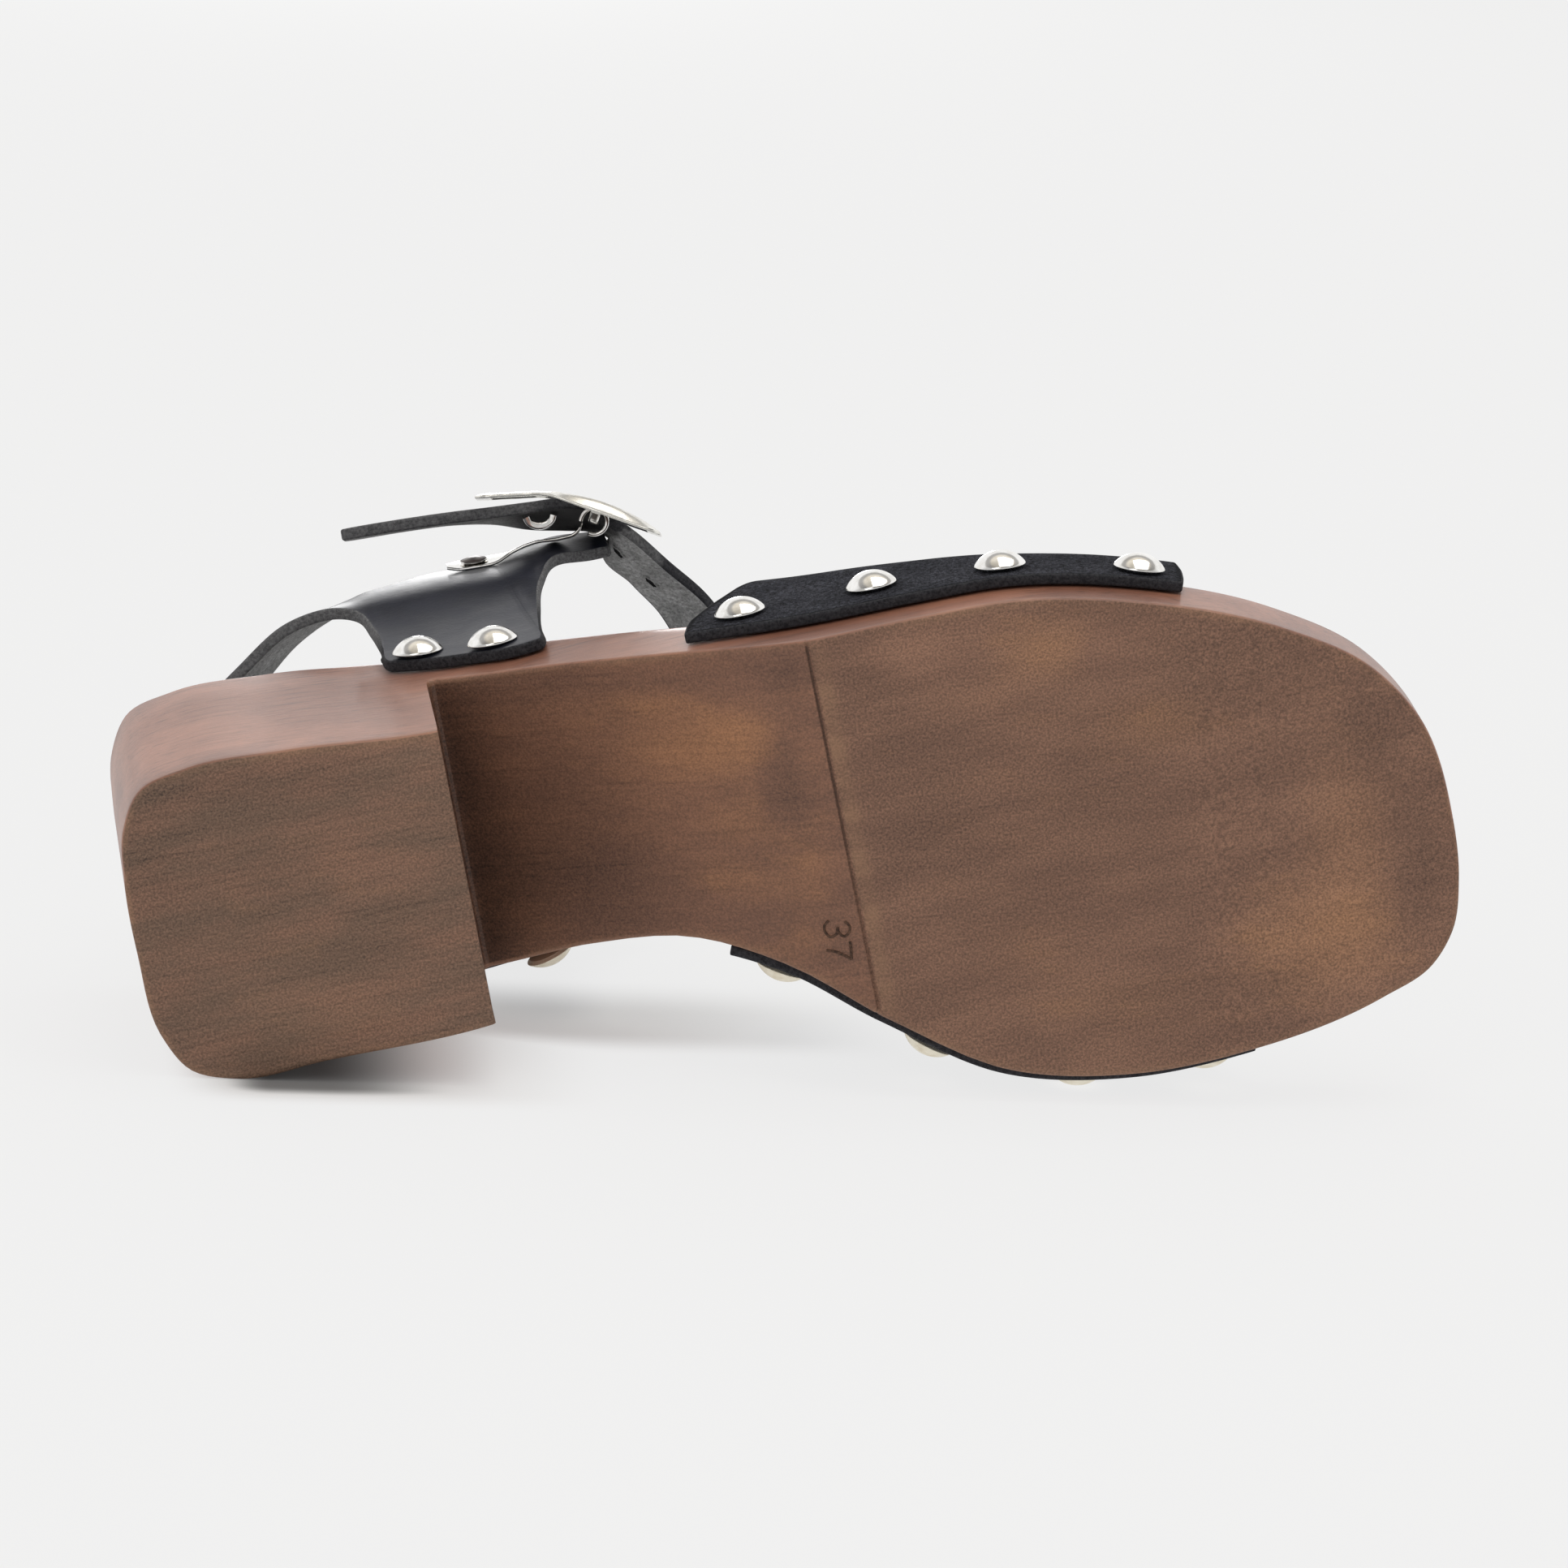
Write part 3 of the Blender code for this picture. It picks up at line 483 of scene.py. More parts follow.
# The groove's painted shade is deep on the outer half and fades to the inner side: places across, shares.
GROOVE_FADE = ((-40.0, -12.0, 6.0, 24.0), (0.9, 1.0, 0.55, 0.4))
# Rows of the underside where the breast starts and where the arch ends.
BREAST_ROW = 8
ARCH_END_ROW = 41
# Painted shade on the breast and the start of the arch, which lie in the heel's shadow: middle and reach
# along the shoe, depth.
BREAST_SHADE = (64.0, 7.0, 0.42)
# Marks along the groove by row: painted shade in its bottom, pale on the rim in front of it.
GROOVE_MARKS = {41: -0.4, 42: -0.9, 43: -1.0, 44: -0.7, 46: 0.7, 47: 1.0, 48: 1.0, 49: 0.85, 50: 0.5}

# Patches of the underside, in the columns x, y, reach along, reach across, lighter, warmer.
PATCHES = (
    (224.0, 4.0, 10.0, 20.0, 0.1, 0.4),
    (221.0, 26.0, 15.0, 11.0, 0.16, 0.45),
    (206.0, 20.0, 12.0, 12.0, 0.05, 0.3),
    (201.0, -29.0, 16.0, 7.0, -0.12, -0.1),
    (172.0, -35.0, 14.0, 6.0, 0.12, 0.6),
    (190.0, -20.0, 12.0, 6.0, 0.05, 0.5),
    (147.0, -36.0, 11.0, 4.5, 0.3, -0.6),
    (150.0, -27.0, 14.0, 4.5, 0.1, 0.2),
    (140.0, -32.0, 8.0, 6.0, -0.18, -0.3),
    (183.0, -33.0, 6.0, 5.0, 0.12, -0.7),
    (236.0, 14.0, 5.0, 10.0, -0.16, -0.2),
    (229.0, -12.0, 5.0, 9.0, -0.14, -0.1),
    (211.0, 34.0, 8.0, 4.0, -0.15, 0.1),
    (150.0, -5.0, 12.0, 18.0, -0.12, 0.0),
    (176.0, -6.0, 14.0, 12.0, -0.1, 0.1),
    (190.0, 8.0, 16.0, 12.0, 0.0, -0.3),
    (165.0, 20.0, 12.0, 10.0, 0.04, 0.2),
    (180.0, 32.0, 14.0, 6.0, -0.06, 0.3),
    (37.0, 19.0, 18.0, 6.0, 0.12, 0.2),
    (28.0, 6.0, 16.0, 5.0, 0.0, 0.15),
    (46.0, -8.0, 12.0, 9.0, 0.02, 0.1),
    (53.0, -27.0, 9.0, 6.0, 0.12, -0.8),
    (14.0, -23.0, 14.0, 5.0, -0.14, -0.8),
    (5.0, -10.0, 6.0, 12.0, -0.12, -0.6),
    (8.0, 18.0, 7.0, 7.0, -0.08, -0.5),
    (26.0, -7.0, 14.0, 6.0, -0.06, 0.1),
    (55.0, 22.0, 7.0, 6.0, 0.0, -0.5),
    (34.0, -24.0, 14.0, 4.0, -0.1, -0.4),
    (25.0, 19.0, 10.0, 6.0, 0.08, 0.0),
    (74.0, 8.0, 9.0, 16.0, -0.2, -0.3),
    (90.0, 0.0, 10.0, 26.0, -0.14, -0.1),
    (84.0, 4.0, 9.0, 10.0, -0.14, -0.1),
    (97.0, -28.0, 14.0, 4.0, 0.02, 0.45),
    (105.0, -19.0, 14.0, 6.0, 0.1, 0.75),
    (115.0, -23.0, 8.0, 5.0, 0.08, 0.6),
    (114.0, -6.0, 9.0, 5.0, 0.04, 0.5),
    (111.0, 5.0, 10.0, 4.0, 0.02, 0.5),
    (125.0, 1.0, 4.0, 9.0, 0.02, 0.4),
    (121.0, -17.0, 3.0, 8.0, -0.24, -0.5),
    (123.0, -34.0, 3.0, 4.0, -0.22, -0.7),
    (123.0, -9.0, 3.0, 6.0, -0.2, -0.4),
    (80.0, -30.0, 9.0, 4.0, -0.1, -0.2),
    (95.0, 12.0, 12.0, 5.0, -0.04, -0.3),
    (122.0, 14.0, 6.0, 8.0, 0.0, 0.2),
)


def patches(points):
    """Lighter and warmer amounts at points of the underside."""
    points = np.asarray(points, float)
    lighter = np.zeros(len(points))
    warmer = np.zeros(len(points))
    for x, y, along, across, light, warm in PATCHES:
        share = np.exp(-((points[:, 0] - x) / along) ** 2 - ((points[:, 1] - y) / across) ** 2)
        lighter += light * share
        warmer += warm * share
    return lighter, warmer


def half_parts(side):
    """Outline of one side in three parts: round the heel, along the arch, round the forefoot."""
    half = half_of(side)
    along = heel_along(half[:, 0], half[:, 1])
    first = int(np.argmax(along > HEEL_ZONE_END))
    last = len(along) - 1 - int(np.argmax(along[::-1] < FORE_ZONE_START))
    heel = spaced(np.vstack([half[:first], cut_at(half, along, HEEL_ZONE_END)]), HEEL_ROWS)[:-1]
    middle = np.array([cut_at(half, along, place) for place, _ in UNDERSIDE])
    fore = spaced(np.vstack([cut_at(half, along, FORE_ZONE_START), half[last + 1:]]), FORE_ROWS)
    return np.vstack([heel, middle, fore])


def cut_at(half, along, place):
    """Point of a half outline at a distance along the heel's axis."""
    start = len(half) // END_PARTS
    return np.array([np.interp(place, along[start:-start], half[start:-start, axis]) for axis in (0, 1)])


def sole_sections():
    """Outer and inner point of every section of the sole, each with its direction into the sole."""
    sides = []
    for side in ("outer", "inner"):
        points = half_parts(side)
        sides.append(zip(points, rim_inward(points)))
    return list(zip(*sides))


def between(start, end, shares):
    """Points at shares of the way between two points."""
    start, end = np.array(start), np.array(end)
    return [start + (end - start) * share for share in shares]


def side_profile(low, top):
    """Wall from the underside's rim up to the footbed's rim, in the columns inset, height, wear."""
    rows = []
    for angle in np.radians(RIM_ANGLES):
        rows.append((RIM_RADIUS * (1 - math.sin(angle)), low + RIM_RADIUS * (1 - math.cos(angle)), RIM_WEAR))
    foot = low + RIM_RADIUS
    head = top - TOP_EDGE_RADIUS
    for share in WALL_SHARES:
        height = foot + share * (head - foot)
        rows.append((0.0, height, RIM_WEAR * math.exp(-(height - foot) / WALL_WEAR_REACH)))
    for angle in np.radians(TOP_ANGLES):
        rows.append((TOP_EDGE_RADIUS * (1 - math.cos(angle)), head + TOP_EDGE_RADIUS * math.sin(angle), 0.0))
    return rows


def under_marks(row, under, shares, width):
    """Wear and the groove's painted shade across one row of the underside, and the painted shade in which the
    row lies.
    """
    wear_and_shade_amount = RIM_WEAR * np.exp(-width * np.minimum(shares, 1 - shares) / UNDER_WEAR_REACH)
    shade = 0.0
    if BREAST_ROW <= row < len(UNDERSIDE):
        middle, reach, depth = BREAST_SHADE
        shade = depth * np.exp(-(((UNDERSIDE[row][0] - middle) / reach) ** 2))
    groove = GROOVE_MARKS.get(row, 0.0)
    if groove > 0.0:
        wear_and_shade_amount = np.full(len(under), groove)
    elif groove < 0.0:
        wear_and_shade_amount = groove * np.interp([point[1] for point in under], *GROOVE_FADE)
    return wear_and_shade_amount, shade


def make_sole(paints):
    solid = Solid()
    rows = []
    for row, section in enumerate(sole_sections(), start=-HEEL_ROWS):
        in_arch = 0 <= row < len(UNDERSIDE)
        sides = []
        for point, inward in section:
            low = UNDERSIDE[row][1] if in_arch else float(ground_height(point[0]))
            profile = side_profile(low, float(footbed_height(*point)))
            sides.append([(*(point + inward * inset), height, wear_and_shade_amount) for inset, height, wear_and_shade_amount in profile])
        sides[1].reverse()
        outer, inner = ([place[:3] for place in side] for side in sides)
        outer_wear, inner_wear = ([place[3] for place in side] for side in sides)
        shares = np.arange(1, FOOTBED_COLUMNS) / FOOTBED_COLUMNS
        top = between(outer[-1], inner[0], shares)
        for point, share in zip(top, shares):
            point[2] = footbed_height(point[0], point[1]) - dish(share)
        shares = (1 - np.cos(np.pi * np.arange(1, UNDER_COLUMNS) / UNDER_COLUMNS)) / 2
        under = between(inner[-1], outer[0], shares)
        for point in under:
            point[2] = UNDERSIDE[row][1] if in_arch else ground_height(point[0])
        points = outer + top + inner + under
        below = len(points) - len(under)
        lighter, warmer = patches(points)
        lighter[:below] = 0.0
        under_wear_and_shade, shade = under_marks(row, under, shares, math.dist(inner[-1], outer[0]))
        # Painted shade of the breast and the arch darkens the underside's tone and its warmth.
        lighter[below:] -= shade
        warmer[below:] -= shade
        wear_and_shade_amount = [*outer_wear, *np.zeros(len(top)), *inner_wear, *under_wear_and_shade]
        rows.append(solid.add(points, worn=wear_and_shade_amount, tone=lighter, warm=warmer))
    count = len(rows[0])
    last_wall = count - UNDER_COLUMNS - FILLET_FACES - 1
    for row, (before, after) in enumerate(zip(rows, rows[1:]), start=-HEEL_ROWS):
        under_paint = 1 if row < BREAST_ROW else 2 if row < ARCH_END_ROW else 3
        for column in range(count):
            right = (column + 1) % count
            paint = 0 if FILLET_FACES <= column < last_wall else under_paint
            solid.face((before[column], before[right], after[right], after[column]), paint)
    return solid.make("clog_sole", paints, "stained_wood", "wooden_sole", SOLE_SMOOTH)


def make_insole(paint):
    solid = Solid()
    soft = INSOLE_SOFT * INSOLE_EDGE
    profile = ((0.0, 0.0), (0.0, INSOLE_THICK - INSOLE_EDGE), (soft, INSOLE_THICK - soft),
               (INSOLE_EDGE, INSOLE_THICK))
    shares = np.arange(1, FOOTBED_COLUMNS) / FOOTBED_COLUMNS
    rows = []
    for section in sole_sections():
        sides = []
        for point, inward in section:
            bed = float(footbed_height(*point)) + GAP
            sides.append([(*(point + inward * (INSOLE_INSET + inset)), bed + height)
                          for inset, height in profile])
        outer, inner = sides
        line = list(outer)
        for start, end, rise in ((outer[-1], inner[-1], INSOLE_THICK), (inner[0], outer[0], 0.0)):
            across = between(start, end, shares)
            for point, share in zip(across, shares):
                point[2] = footbed_height(point[0], point[1]) + GAP + rise - dish(share)
            line += across
            if rise:
                line += inner[::-1]
        rows.append(solid.add(line))
    for before, after in zip(rows, rows[1:]):
        solid.join(before, after)
    return solid.make("sock_lining", [paint], "insole_leather", "insole_sock")


# Strokes of the stamped size number, in shares of a digit's width and height; digits stand across the arch.
# Columns: line, start across, width of the digit.
DIGIT_STROKES = (
    (((0.05, 0.82), (0.3, 1.0), (0.68, 0.98), (0.92, 0.76), (0.72, 0.57), (0.4, 0.52)), 12.4, 3.3),
    (((0.4, 0.52), (0.78, 0.46), (0.96, 0.22), (0.7, 0.02), (0.3, 0.0), (0.02, 0.17)), 12.4, 3.3),
    (((0.0, 0.98), (0.35, 1.0), (0.7, 1.0), (1.0, 1.0)), 16.4, 3.4),
    (((1.0, 1.0), (0.78, 0.7), (0.6, 0.4), (0.5, 0.0)), 16.4, 3.4),
)
DIGIT_FOOT = 126.4
DIGIT_HEIGHT = 4.4
STROKE_STEPS = 5
# Section of a stroke, in the columns across, up.
STROKE_SECTION = ((0.25, -0.1), (0.17, 0.04), (-0.17, 0.04), (-0.25, -0.1))


def make_stamp(paint):
    """Thin dark strokes for the size number behind the groove."""
    solid = Solid()
    for stroke, start, wide in DIGIT_STROKES:
        line = smooth_curve(stroke, STROKE_STEPS)
        y = start + wide * line[:, 0]
        x = DIGIT_FOOT + DIGIT_HEIGHT * line[:, 1]
        z = np.interp(heel_along(x, y), *zip(*UNDERSIDE))
        path = np.stack([x, y, z], axis=1)
        sweep(solid, path, [(0.0, 0.0, -1.0)] * len(path), [STROKE_SECTION] * len(path), False)
    return solid.make("size_number", [paint], "stained_wood")


BAND_COLUMNS = 110
BAND_ROWS = 56
STRAP_STEPS = 10
STRAP_COLUMNS = 56
EDGE_ROUND = 0.45
EDGE_ANGLES = (60.0, 30.0, 0.0)
LEATHER_SMOOTH = 50.0
# The band's grids have two more lines close to each edge, with a darker tone.
BAND_RIM_ACROSS = 0.0025
BAND_RIM_ALONG = 0.006
BAND_RIM_TONE = 0.7
# Rows of the inner quarter whose lower edge sits higher than on the outer side, with the rise.
INNER_RAISE = {5: 2.0, 6: 6.0, 7: 6.8, 8: 7.2, 9: 6.2, 10: 5.0, 11: 5.0, 12: 4.6, 13: 2.0}
# Rows of the inner quarter whose lower and higher edges have a distance of their own from the heel's axis.
INNER_LOW_OUT = {1: 28.8, 2: 28.6, 3: 28.2, 4: 27.5, 13: 30.7, 14: 30.6, 15: 30.6}
INNER_HIGH_OUT = {1: 28.0, 2: 29.0, 3: 29.4, 4: 29.4}
# Sections to either side over which the strap's directions are evened out, and how fast they count less.
STRAP_EVEN = 8
EVEN_FALLOFF = 2.0


def facing(grid, even):
    """Outward directions of a grid, evened out over neighbouring sections so that narrow cells count less."""
    area = np.cross(np.gradient(grid, axis=1), np.gradient(grid, axis=0))
    padded = np.pad(area, ((even, even), (0, 0), (0, 0)), mode="edge")
    weights = np.exp(-(np.arange(-even, even + 1) * EVEN_FALLOFF / max(even, 1)) ** 2)
    return unit(sum(weight * padded[start:start + len(area)] for start, weight in enumerate(weights)))


def shell(grid, thickness, even=0):
    """Closed wall around a grid of points: grain side 0, flesh side 1, cut edge 2."""
    solid = Solid()
    grid = np.asarray(grid, float)
    normal = facing(grid, even)
    sides = []
    for way in (1.0, -1.0):
        sides.append([solid.add(row) for row in grid + normal * way * thickness / 2])
    for paint, rows in enumerate(sides):
        for before, after in zip(rows, rows[1:]):
            solid.join(before, after, closed=False, paint=paint)
    tall, wide = grid.shape[:2]
    border = [(i, 0) for i in range(tall)] + [(tall - 1, j) for j in range(1, wide)]
    border += [(i, wide - 1) for i in range(tall - 2, -1, -1)] + [(0, j) for j in range(wide - 2, 0, -1)]
    line = np.array([grid[place] for place in border])
    onward = np.roll(line, -1, axis=0) - np.roll(line, 1, axis=0)
    away = unit(np.cross([normal[place] for place in border], onward))
    rings = [[sides[0][i][j] for i, j in border]]
    flat = thickness / 2 - EDGE_ROUND
    for base, angles in ((flat, EDGE_ANGLES), (-flat, [-angle for angle in reversed(EDGE_ANGLES)])):
        for angle in np.radians(angles):
            rings.append(solid.add(
                grid[i, j] + way * EDGE_ROUND * math.cos(angle)
                + normal[i, j] * (base + EDGE_ROUND * math.sin(angle))
                for (i, j), way in zip(border, away)))
    rings.append([sides[1][i][j] for i, j in border])
    for before, after in zip(rings, rings[1:]):
        solid.join(before, after, paint=2)
    return solid


def band_low(x, side):
    """Height of the band's lower edge."""
    return table(BAND_LOW, x, 1 if side == "outer" else 2)


def arch_curve(share, foot, crown, base, top):
    """Quarter of the band's arch, upright at the foot and level at the crown."""
    fullness = BAND_FULLNESS
    knots = ((foot, base), (foot, base + fullness * (top - base)),
             (crown + (1.0 - fullness) * (foot - crown), top), (crown, top))
    weights = ((1 - share) ** 3, 3 * share * (1 - share) ** 2, 3 * share ** 2 * (1 - share), share ** 3)
    return [sum(weight * knot[axis] for weight, knot in zip(weights, knots)) for axis in (0, 1)]


def band_point(share, reach):
    """Point of the band's middle surface, from the outer foot to the inner and from rear to front."""
    rear = table(BAND_EDGES, share, 1)
    front = table(BAND_EDGES, share, 2)
    x = rear + (front - rear) * reach
    side = "outer" if share < 0.5 else "inner"
    outward = -1.0 if side == "outer" else 1.0
    foot = wall_across(x, side) + outward * (BASE_GAP + BAND_THICK / 2)
    crown = (wall_across(x, "outer") + wall_across(x, "inner")) / 2 + table(BAND_CROWN, x, 2)
    bed = float(footbed_height(x, foot))
    top = bed + table(BAND_CROWN, x, 1)
    base = bed + table(BAND_CROWN, x, 3)
    low = band_low(x, side)
    from_foot = min(share, 1.0 - share)
    if from_foot < BAND_FOOT_SHARE:
        return x, foot, low + (base - low) * from_foot / BAND_FOOT_SHARE
    y, z = arch_curve((from_foot - BAND_FOOT_SHARE) / (0.5 - BAND_FOOT_SHARE), foot, crown, base, top)
    return x, y, z


def with_rims(steps, near):
    """Even places from 0 to 1 with two more close to each end."""
    places = np.linspace(0.0, 1.0, steps + 1)
    return np.concatenate([[0.0, near, 2 * near], places[1:-1], [1.0 - 2 * near, 1.0 - near, 1.0]])


def make_band(paints):
    shares = with_rims(BAND_COLUMNS, BAND_RIM_ACROSS)
    reaches = with_rims(BAND_ROWS, BAND_RIM_ALONG)
    grid = [[band_point(share, reach) for reach in reaches] for share in shares]
    solid = shell(grid, BAND_THICK)
    rim = np.ones((len(shares), len(reaches)))
    rim[1:-1, 1:-1] = BAND_RIM_TONE
    rim[2:-2, 2:-2] = 0.0
    face = rim.ravel().tolist()
    solid.marks["tone"] = face + face + [0.0] * (len(solid.points) - 2 * len(face))
    return solid.make("toe_band", paints, "black_suede", "vamp_band", LEATHER_SMOOTH)


def quarter_row(row, side):
    """Low and high point of a quarter's section in the shoe's frame, with its bow."""
    low_along, low_out, low_height, high_along, high_out, high_height, bow = row
    outward = -1.0 if side == "outer" else 1.0
    if low_out is None:
        low_out = wall_out(low_along, side) + BASE_GAP + STRAP_THICK / 2
    low = from_heel(low_along, outward * low_out, low_height)
    high = from_heel(high_along, outward * high_out, high_height)
    return (*low, *high, bow)


def strap_rows():
    """Sections of the strap work from the outer tab round the heel and over the instep to the free end."""
    rows = [quarter_row(row, "outer") for row in QUARTER]
    rows.append(quarter_row(HEEL_BACK, "inner"))
    for index in range(len(QUARTER) - 1, INNER_TAB_ROW - 1, -1):
        row = list(QUARTER[index])
        row[1] = INNER_LOW_OUT.get(index, row[1])
        row[4] = INNER_HIGH_OUT.get(index, row[4])
        row[2] += INNER_RAISE.get(index, 0.0)
        rows.append(quarter_row(row, "inner"))
    rows.extend((*row, 0.0) for row in INSTEP)
    for x, y, half, twist in FREE_END:
        middle = np.array((x, y, BUCKLE_HEIGHT))
        far = middle + half * BUCKLE_ACROSS + np.array((0.0, twist, 0.0))
        rows.append((*(middle - half * BUCKLE_ACROSS), *far, 0.0))
    return rows


def strap_grid():
    """Points of the strap work's middle surface, by sections along it and shares of their height."""
    curve = smooth_curve(strap_rows(), STRAP_STEPS)
    low, high, bow = curve[:, 0:3], curve[:, 3:6], curve[:, 6]
    shares = np.linspace(0.0, 1.0, STRAP_COLUMNS + 1)[None, :, None]
    flat = low[:, None] + (high - low)[:, None] * shares
    swell = ramp(flat[..., 2:], *BOW_HEIGHTS)
    bend = np.clip(bow, 0.0, 1.0)[:, None, None] * QUARTER_BOW * 4.0 * swell * (1.0 - swell)
    side = np.where(np.arange(len(curve)) < len(QUARTER) * STRAP_STEPS, -1.0, 1.0)
    outward = side[:, None] * np.array((math.sin(HEEL_TURN), math.cos(HEEL_TURN), 0.0))
    share, push = fold(flat)
    return flat + outward[:, None] * (bend * (1.0 - share) + push * share)


# Trough along the outer quarter, in the columns along, height.
TROUGH = ((46.0, 85.5), (55.0, 84.5), (67.0, 84.0), (76.0, 85.0), (87.0, 88.5), (96.0, 95.5))
# Degrees by which the leather leans out, by millimetres below the trough and by shares of the height above.
LEAN_BELOW = (
    (-48.0, -0.8), (-38.0, -0.3), (-28.0, 0.4), (-16.0, 1.4), (-8.0, 4.0), (-3.0, 8.0), (0.0, 9.5),
)
LEAN_ABOVE = ((0.0, 9.5), (0.1, 5.5), (0.22, 0.5), (0.4, -3.5), (0.65, -6.5), (1.0, -9.0))
# Share of the roll above the trough, in the columns along, share.
ROLL = ((46.0, 1.0), (70.0, 1.0), (80.0, 0.8), (92.0, 0.5))
FOLD_STEPS = 80
LEAST_ROLL_HEIGHT = 4.0
# The fold comes in at its rear end and dies out at its front end, places along.
FOLD_REAR = (32.0, 56.0)
FOLD_FRONT = (99.0, 89.0)
# Leather this far out from the heel's axis belongs to the outer side.
OUTER_SIDE = -20.0


def leaning(rows, at):
    """Push gathered along a table of leans up to the given places."""
    places = np.linspace(rows[0][0], rows[-1][0], FOLD_STEPS + 1)
    slopes = np.tan(np.radians(np.interp(places, *zip(*rows))))
    gathered = np.concatenate([[0.0], np.cumsum((slopes[1:] + slopes[:-1]) / 2 * np.diff(places))])
    return np.interp(at, places, gathered)


def fold(flat):
    """Share and outward push of the soft fold on the outer quarter: a trough under a roll to the top edge."""
    along = heel_along(flat[..., 0], flat[..., 1])
    across = heel_across(flat[..., 0], flat[..., 1])
    height = flat[..., 2]
    trough = np.interp(along, *zip(*TROUGH))
    rest = np.maximum(height[:, -1:] - trough, LEAST_ROLL_HEIGHT)
    push = leaning(LEAN_BELOW, height - trough)
    push += leaning(LEAN_ABOVE, (height - trough) / rest) * rest * np.interp(along, *zip(*ROLL))
    ends = ramp(along, *FOLD_REAR) * ramp(along, *FOLD_FRONT)
    on_outer_part = np.arange(len(flat)) < len(flat) // 3
    here = (across < OUTER_SIDE) & on_outer_part[:, None]
    share = np.where(here, ends * ends * (3.0 - 2.0 * ends), 0.0)
    return share[..., None], push[..., None]


# Painted shade on the strap where it wraps round the buckle's bar in the frame's shadow: ramps along at both
# ends and ramp across.
BAR_SHADE_ALONG = ((76.0, 84.0), (101.5, 99.5))
BAR_SHADE_ACROSS = (-39.5, -41.0)
# Pale cut edge of the outer quarter: ends of its zone, ramp of heights, line under its top edge in the
# columns along and height, fade below that line.
QUARTER_ZONE_FRONT = 108.0
QUARTER_ZONE_SIDE = -42.0
PALE_HEIGHTS = (58.0, 72.0)
PALE_TOP = ((60.0, 92.0), (97.0, 106.5))
PALE_FADE = 2.0
# Pale cut edge of the free end: ends of its zone, ramp along, least and most.
FREE_ZONE_FRONT = 97.0
FREE_ZONE_SIDE = -43.0
FREE_PALE_ALONG = (88.0, 82.0)
FREE_PALE = (0.1, 0.8)


def make_straps(paints):
    solid = shell(strap_grid(), STRAP_THICK, STRAP_EVEN)
    x, y, z = np.array(solid.points).T
    # Painted shade where the strap wraps round the buckle's bar.
    bar_shade = ramp(x, *BAR_SHADE_ALONG[0]) * ramp(x, *BAR_SHADE_ALONG[1]) * ramp(y, *BAR_SHADE_ACROSS)
    solid.marks["tone"] = bar_shade.tolist()
    on_quarter = (heel_across(x, y) < OUTER_SIDE) & (y > QUARTER_ZONE_SIDE) & (x < QUARTER_ZONE_FRONT)
    below_top = ramp(np.interp(x, *PALE_TOP) - z, 0.0, PALE_FADE)
    pale = np.where(on_quarter, ramp(z, *PALE_HEIGHTS) * below_top, 0.0)
    on_free_end = (y < FREE_ZONE_SIDE) & (x < FREE_ZONE_FRONT)
    pale = np.where(on_free_end, np.clip(ramp(x, *FREE_PALE_ALONG), *FREE_PALE), pale)
    solid.marks["warm"] = pale.tolist()
    return solid.make("strap_work", paints, "black_leather", "quarter_straps", LEATHER_SMOOTH)


def grid_part(grid, part):
    """Points of one part of a grid in a list, with the directions along and up the grid at each."""
    layers = (grid, unit(np.gradient(grid, axis=0)), unit(np.gradient(grid, axis=1)))
    return [layer[part].reshape(-1, 3) for layer in layers]


# Slits of the instep strap near the buckle, places in the shoe's frame.
SLITS = ((100.8, -36.9, 106.5), (106.4, -29.5, 111.0))
# Rings of a slit from its torn rim inwards: half length, half width, height over the flesh side.
SLIT_RINGS = ((2.1, 0.95, -0.05), (1.9, 0.8, 0.2), (1.6, 0.55, 0.26), (1.35, 0.36, 0.08), (0.7, 0.14, 0.03))
SLIT_RIM_RINGS = 2
SLIT_SIDES = 24
# Waves of the frayed rim, in the columns depth, waves around, start by the slit's number.
FRAY = ((0.12, 5, 1), (0.08, 9, 2))


def make_slits(paints):
    """Torn slits on the flesh side of the instep strap: a frayed rim round a dark cap painted as the shade of
    the opening.
    """
    grid = strap_grid()
    points, ahead, rise = grid_part(grid, slice(2 * len(grid) // 3, None))
    for number, place in enumerate(SLITS, start=1):
        nearest = int(np.argmin(((points - place) ** 2).sum(axis=1)))
        along = ahead[nearest]
        inward = -unit(np.cross(rise[nearest], along))
        across = np.cross(inward, along)
        base = points[nearest] + inward * STRAP_THICK / 2
        solid = Solid()
        rings = []
        for length, width, height in SLIT_RINGS:
            ring = []
            for angle in 2 * math.pi * np.arange(SLIT_SIDES) / SLIT_SIDES:
                fray = 1.0 + sum(depth * math.sin(waves * angle + start * number)
                                 for depth, waves, start in FRAY)
                ring.append(base + along * length * fray * math.cos(angle)
                            + across * width * fray * math.sin(angle) + inward * height)
            rings.append(solid.add(ring))
        # The inner rings and the cap carry painted shade that stands in for the opening.
        for index, (outer, inner) in enumerate(zip(rings, rings[1:])):
            solid.join(outer, inner, paint=0 if index < SLIT_RIM_RINGS else 1)
        solid.face(rings[-1], 1)
        solid.face(list(reversed(rings[0])), 0)
        solid.make(f"strap_slit_{number}", paints, "black_leather")


SECTION_STEPS = 4
STUD_SIDES = 44
STUD_SKIRT = 0.4
DOME_RINGS = 14
# Rolled rim of a head over its skirt, in the columns inset, height, and inset of the skirt's foot.
ROLLED_RIM = ((0.35, -0.1), (0.1, 0.0), (0.0, 0.1))
SKIRT_INSET = 0.7
TIP_RADIUS = 0.02
# Turn of the quarter's studs against the leather under them, seen from above.
STUD_TURN = {"outer": math.radians(5.0), "inner": math.radians(-5.0)}


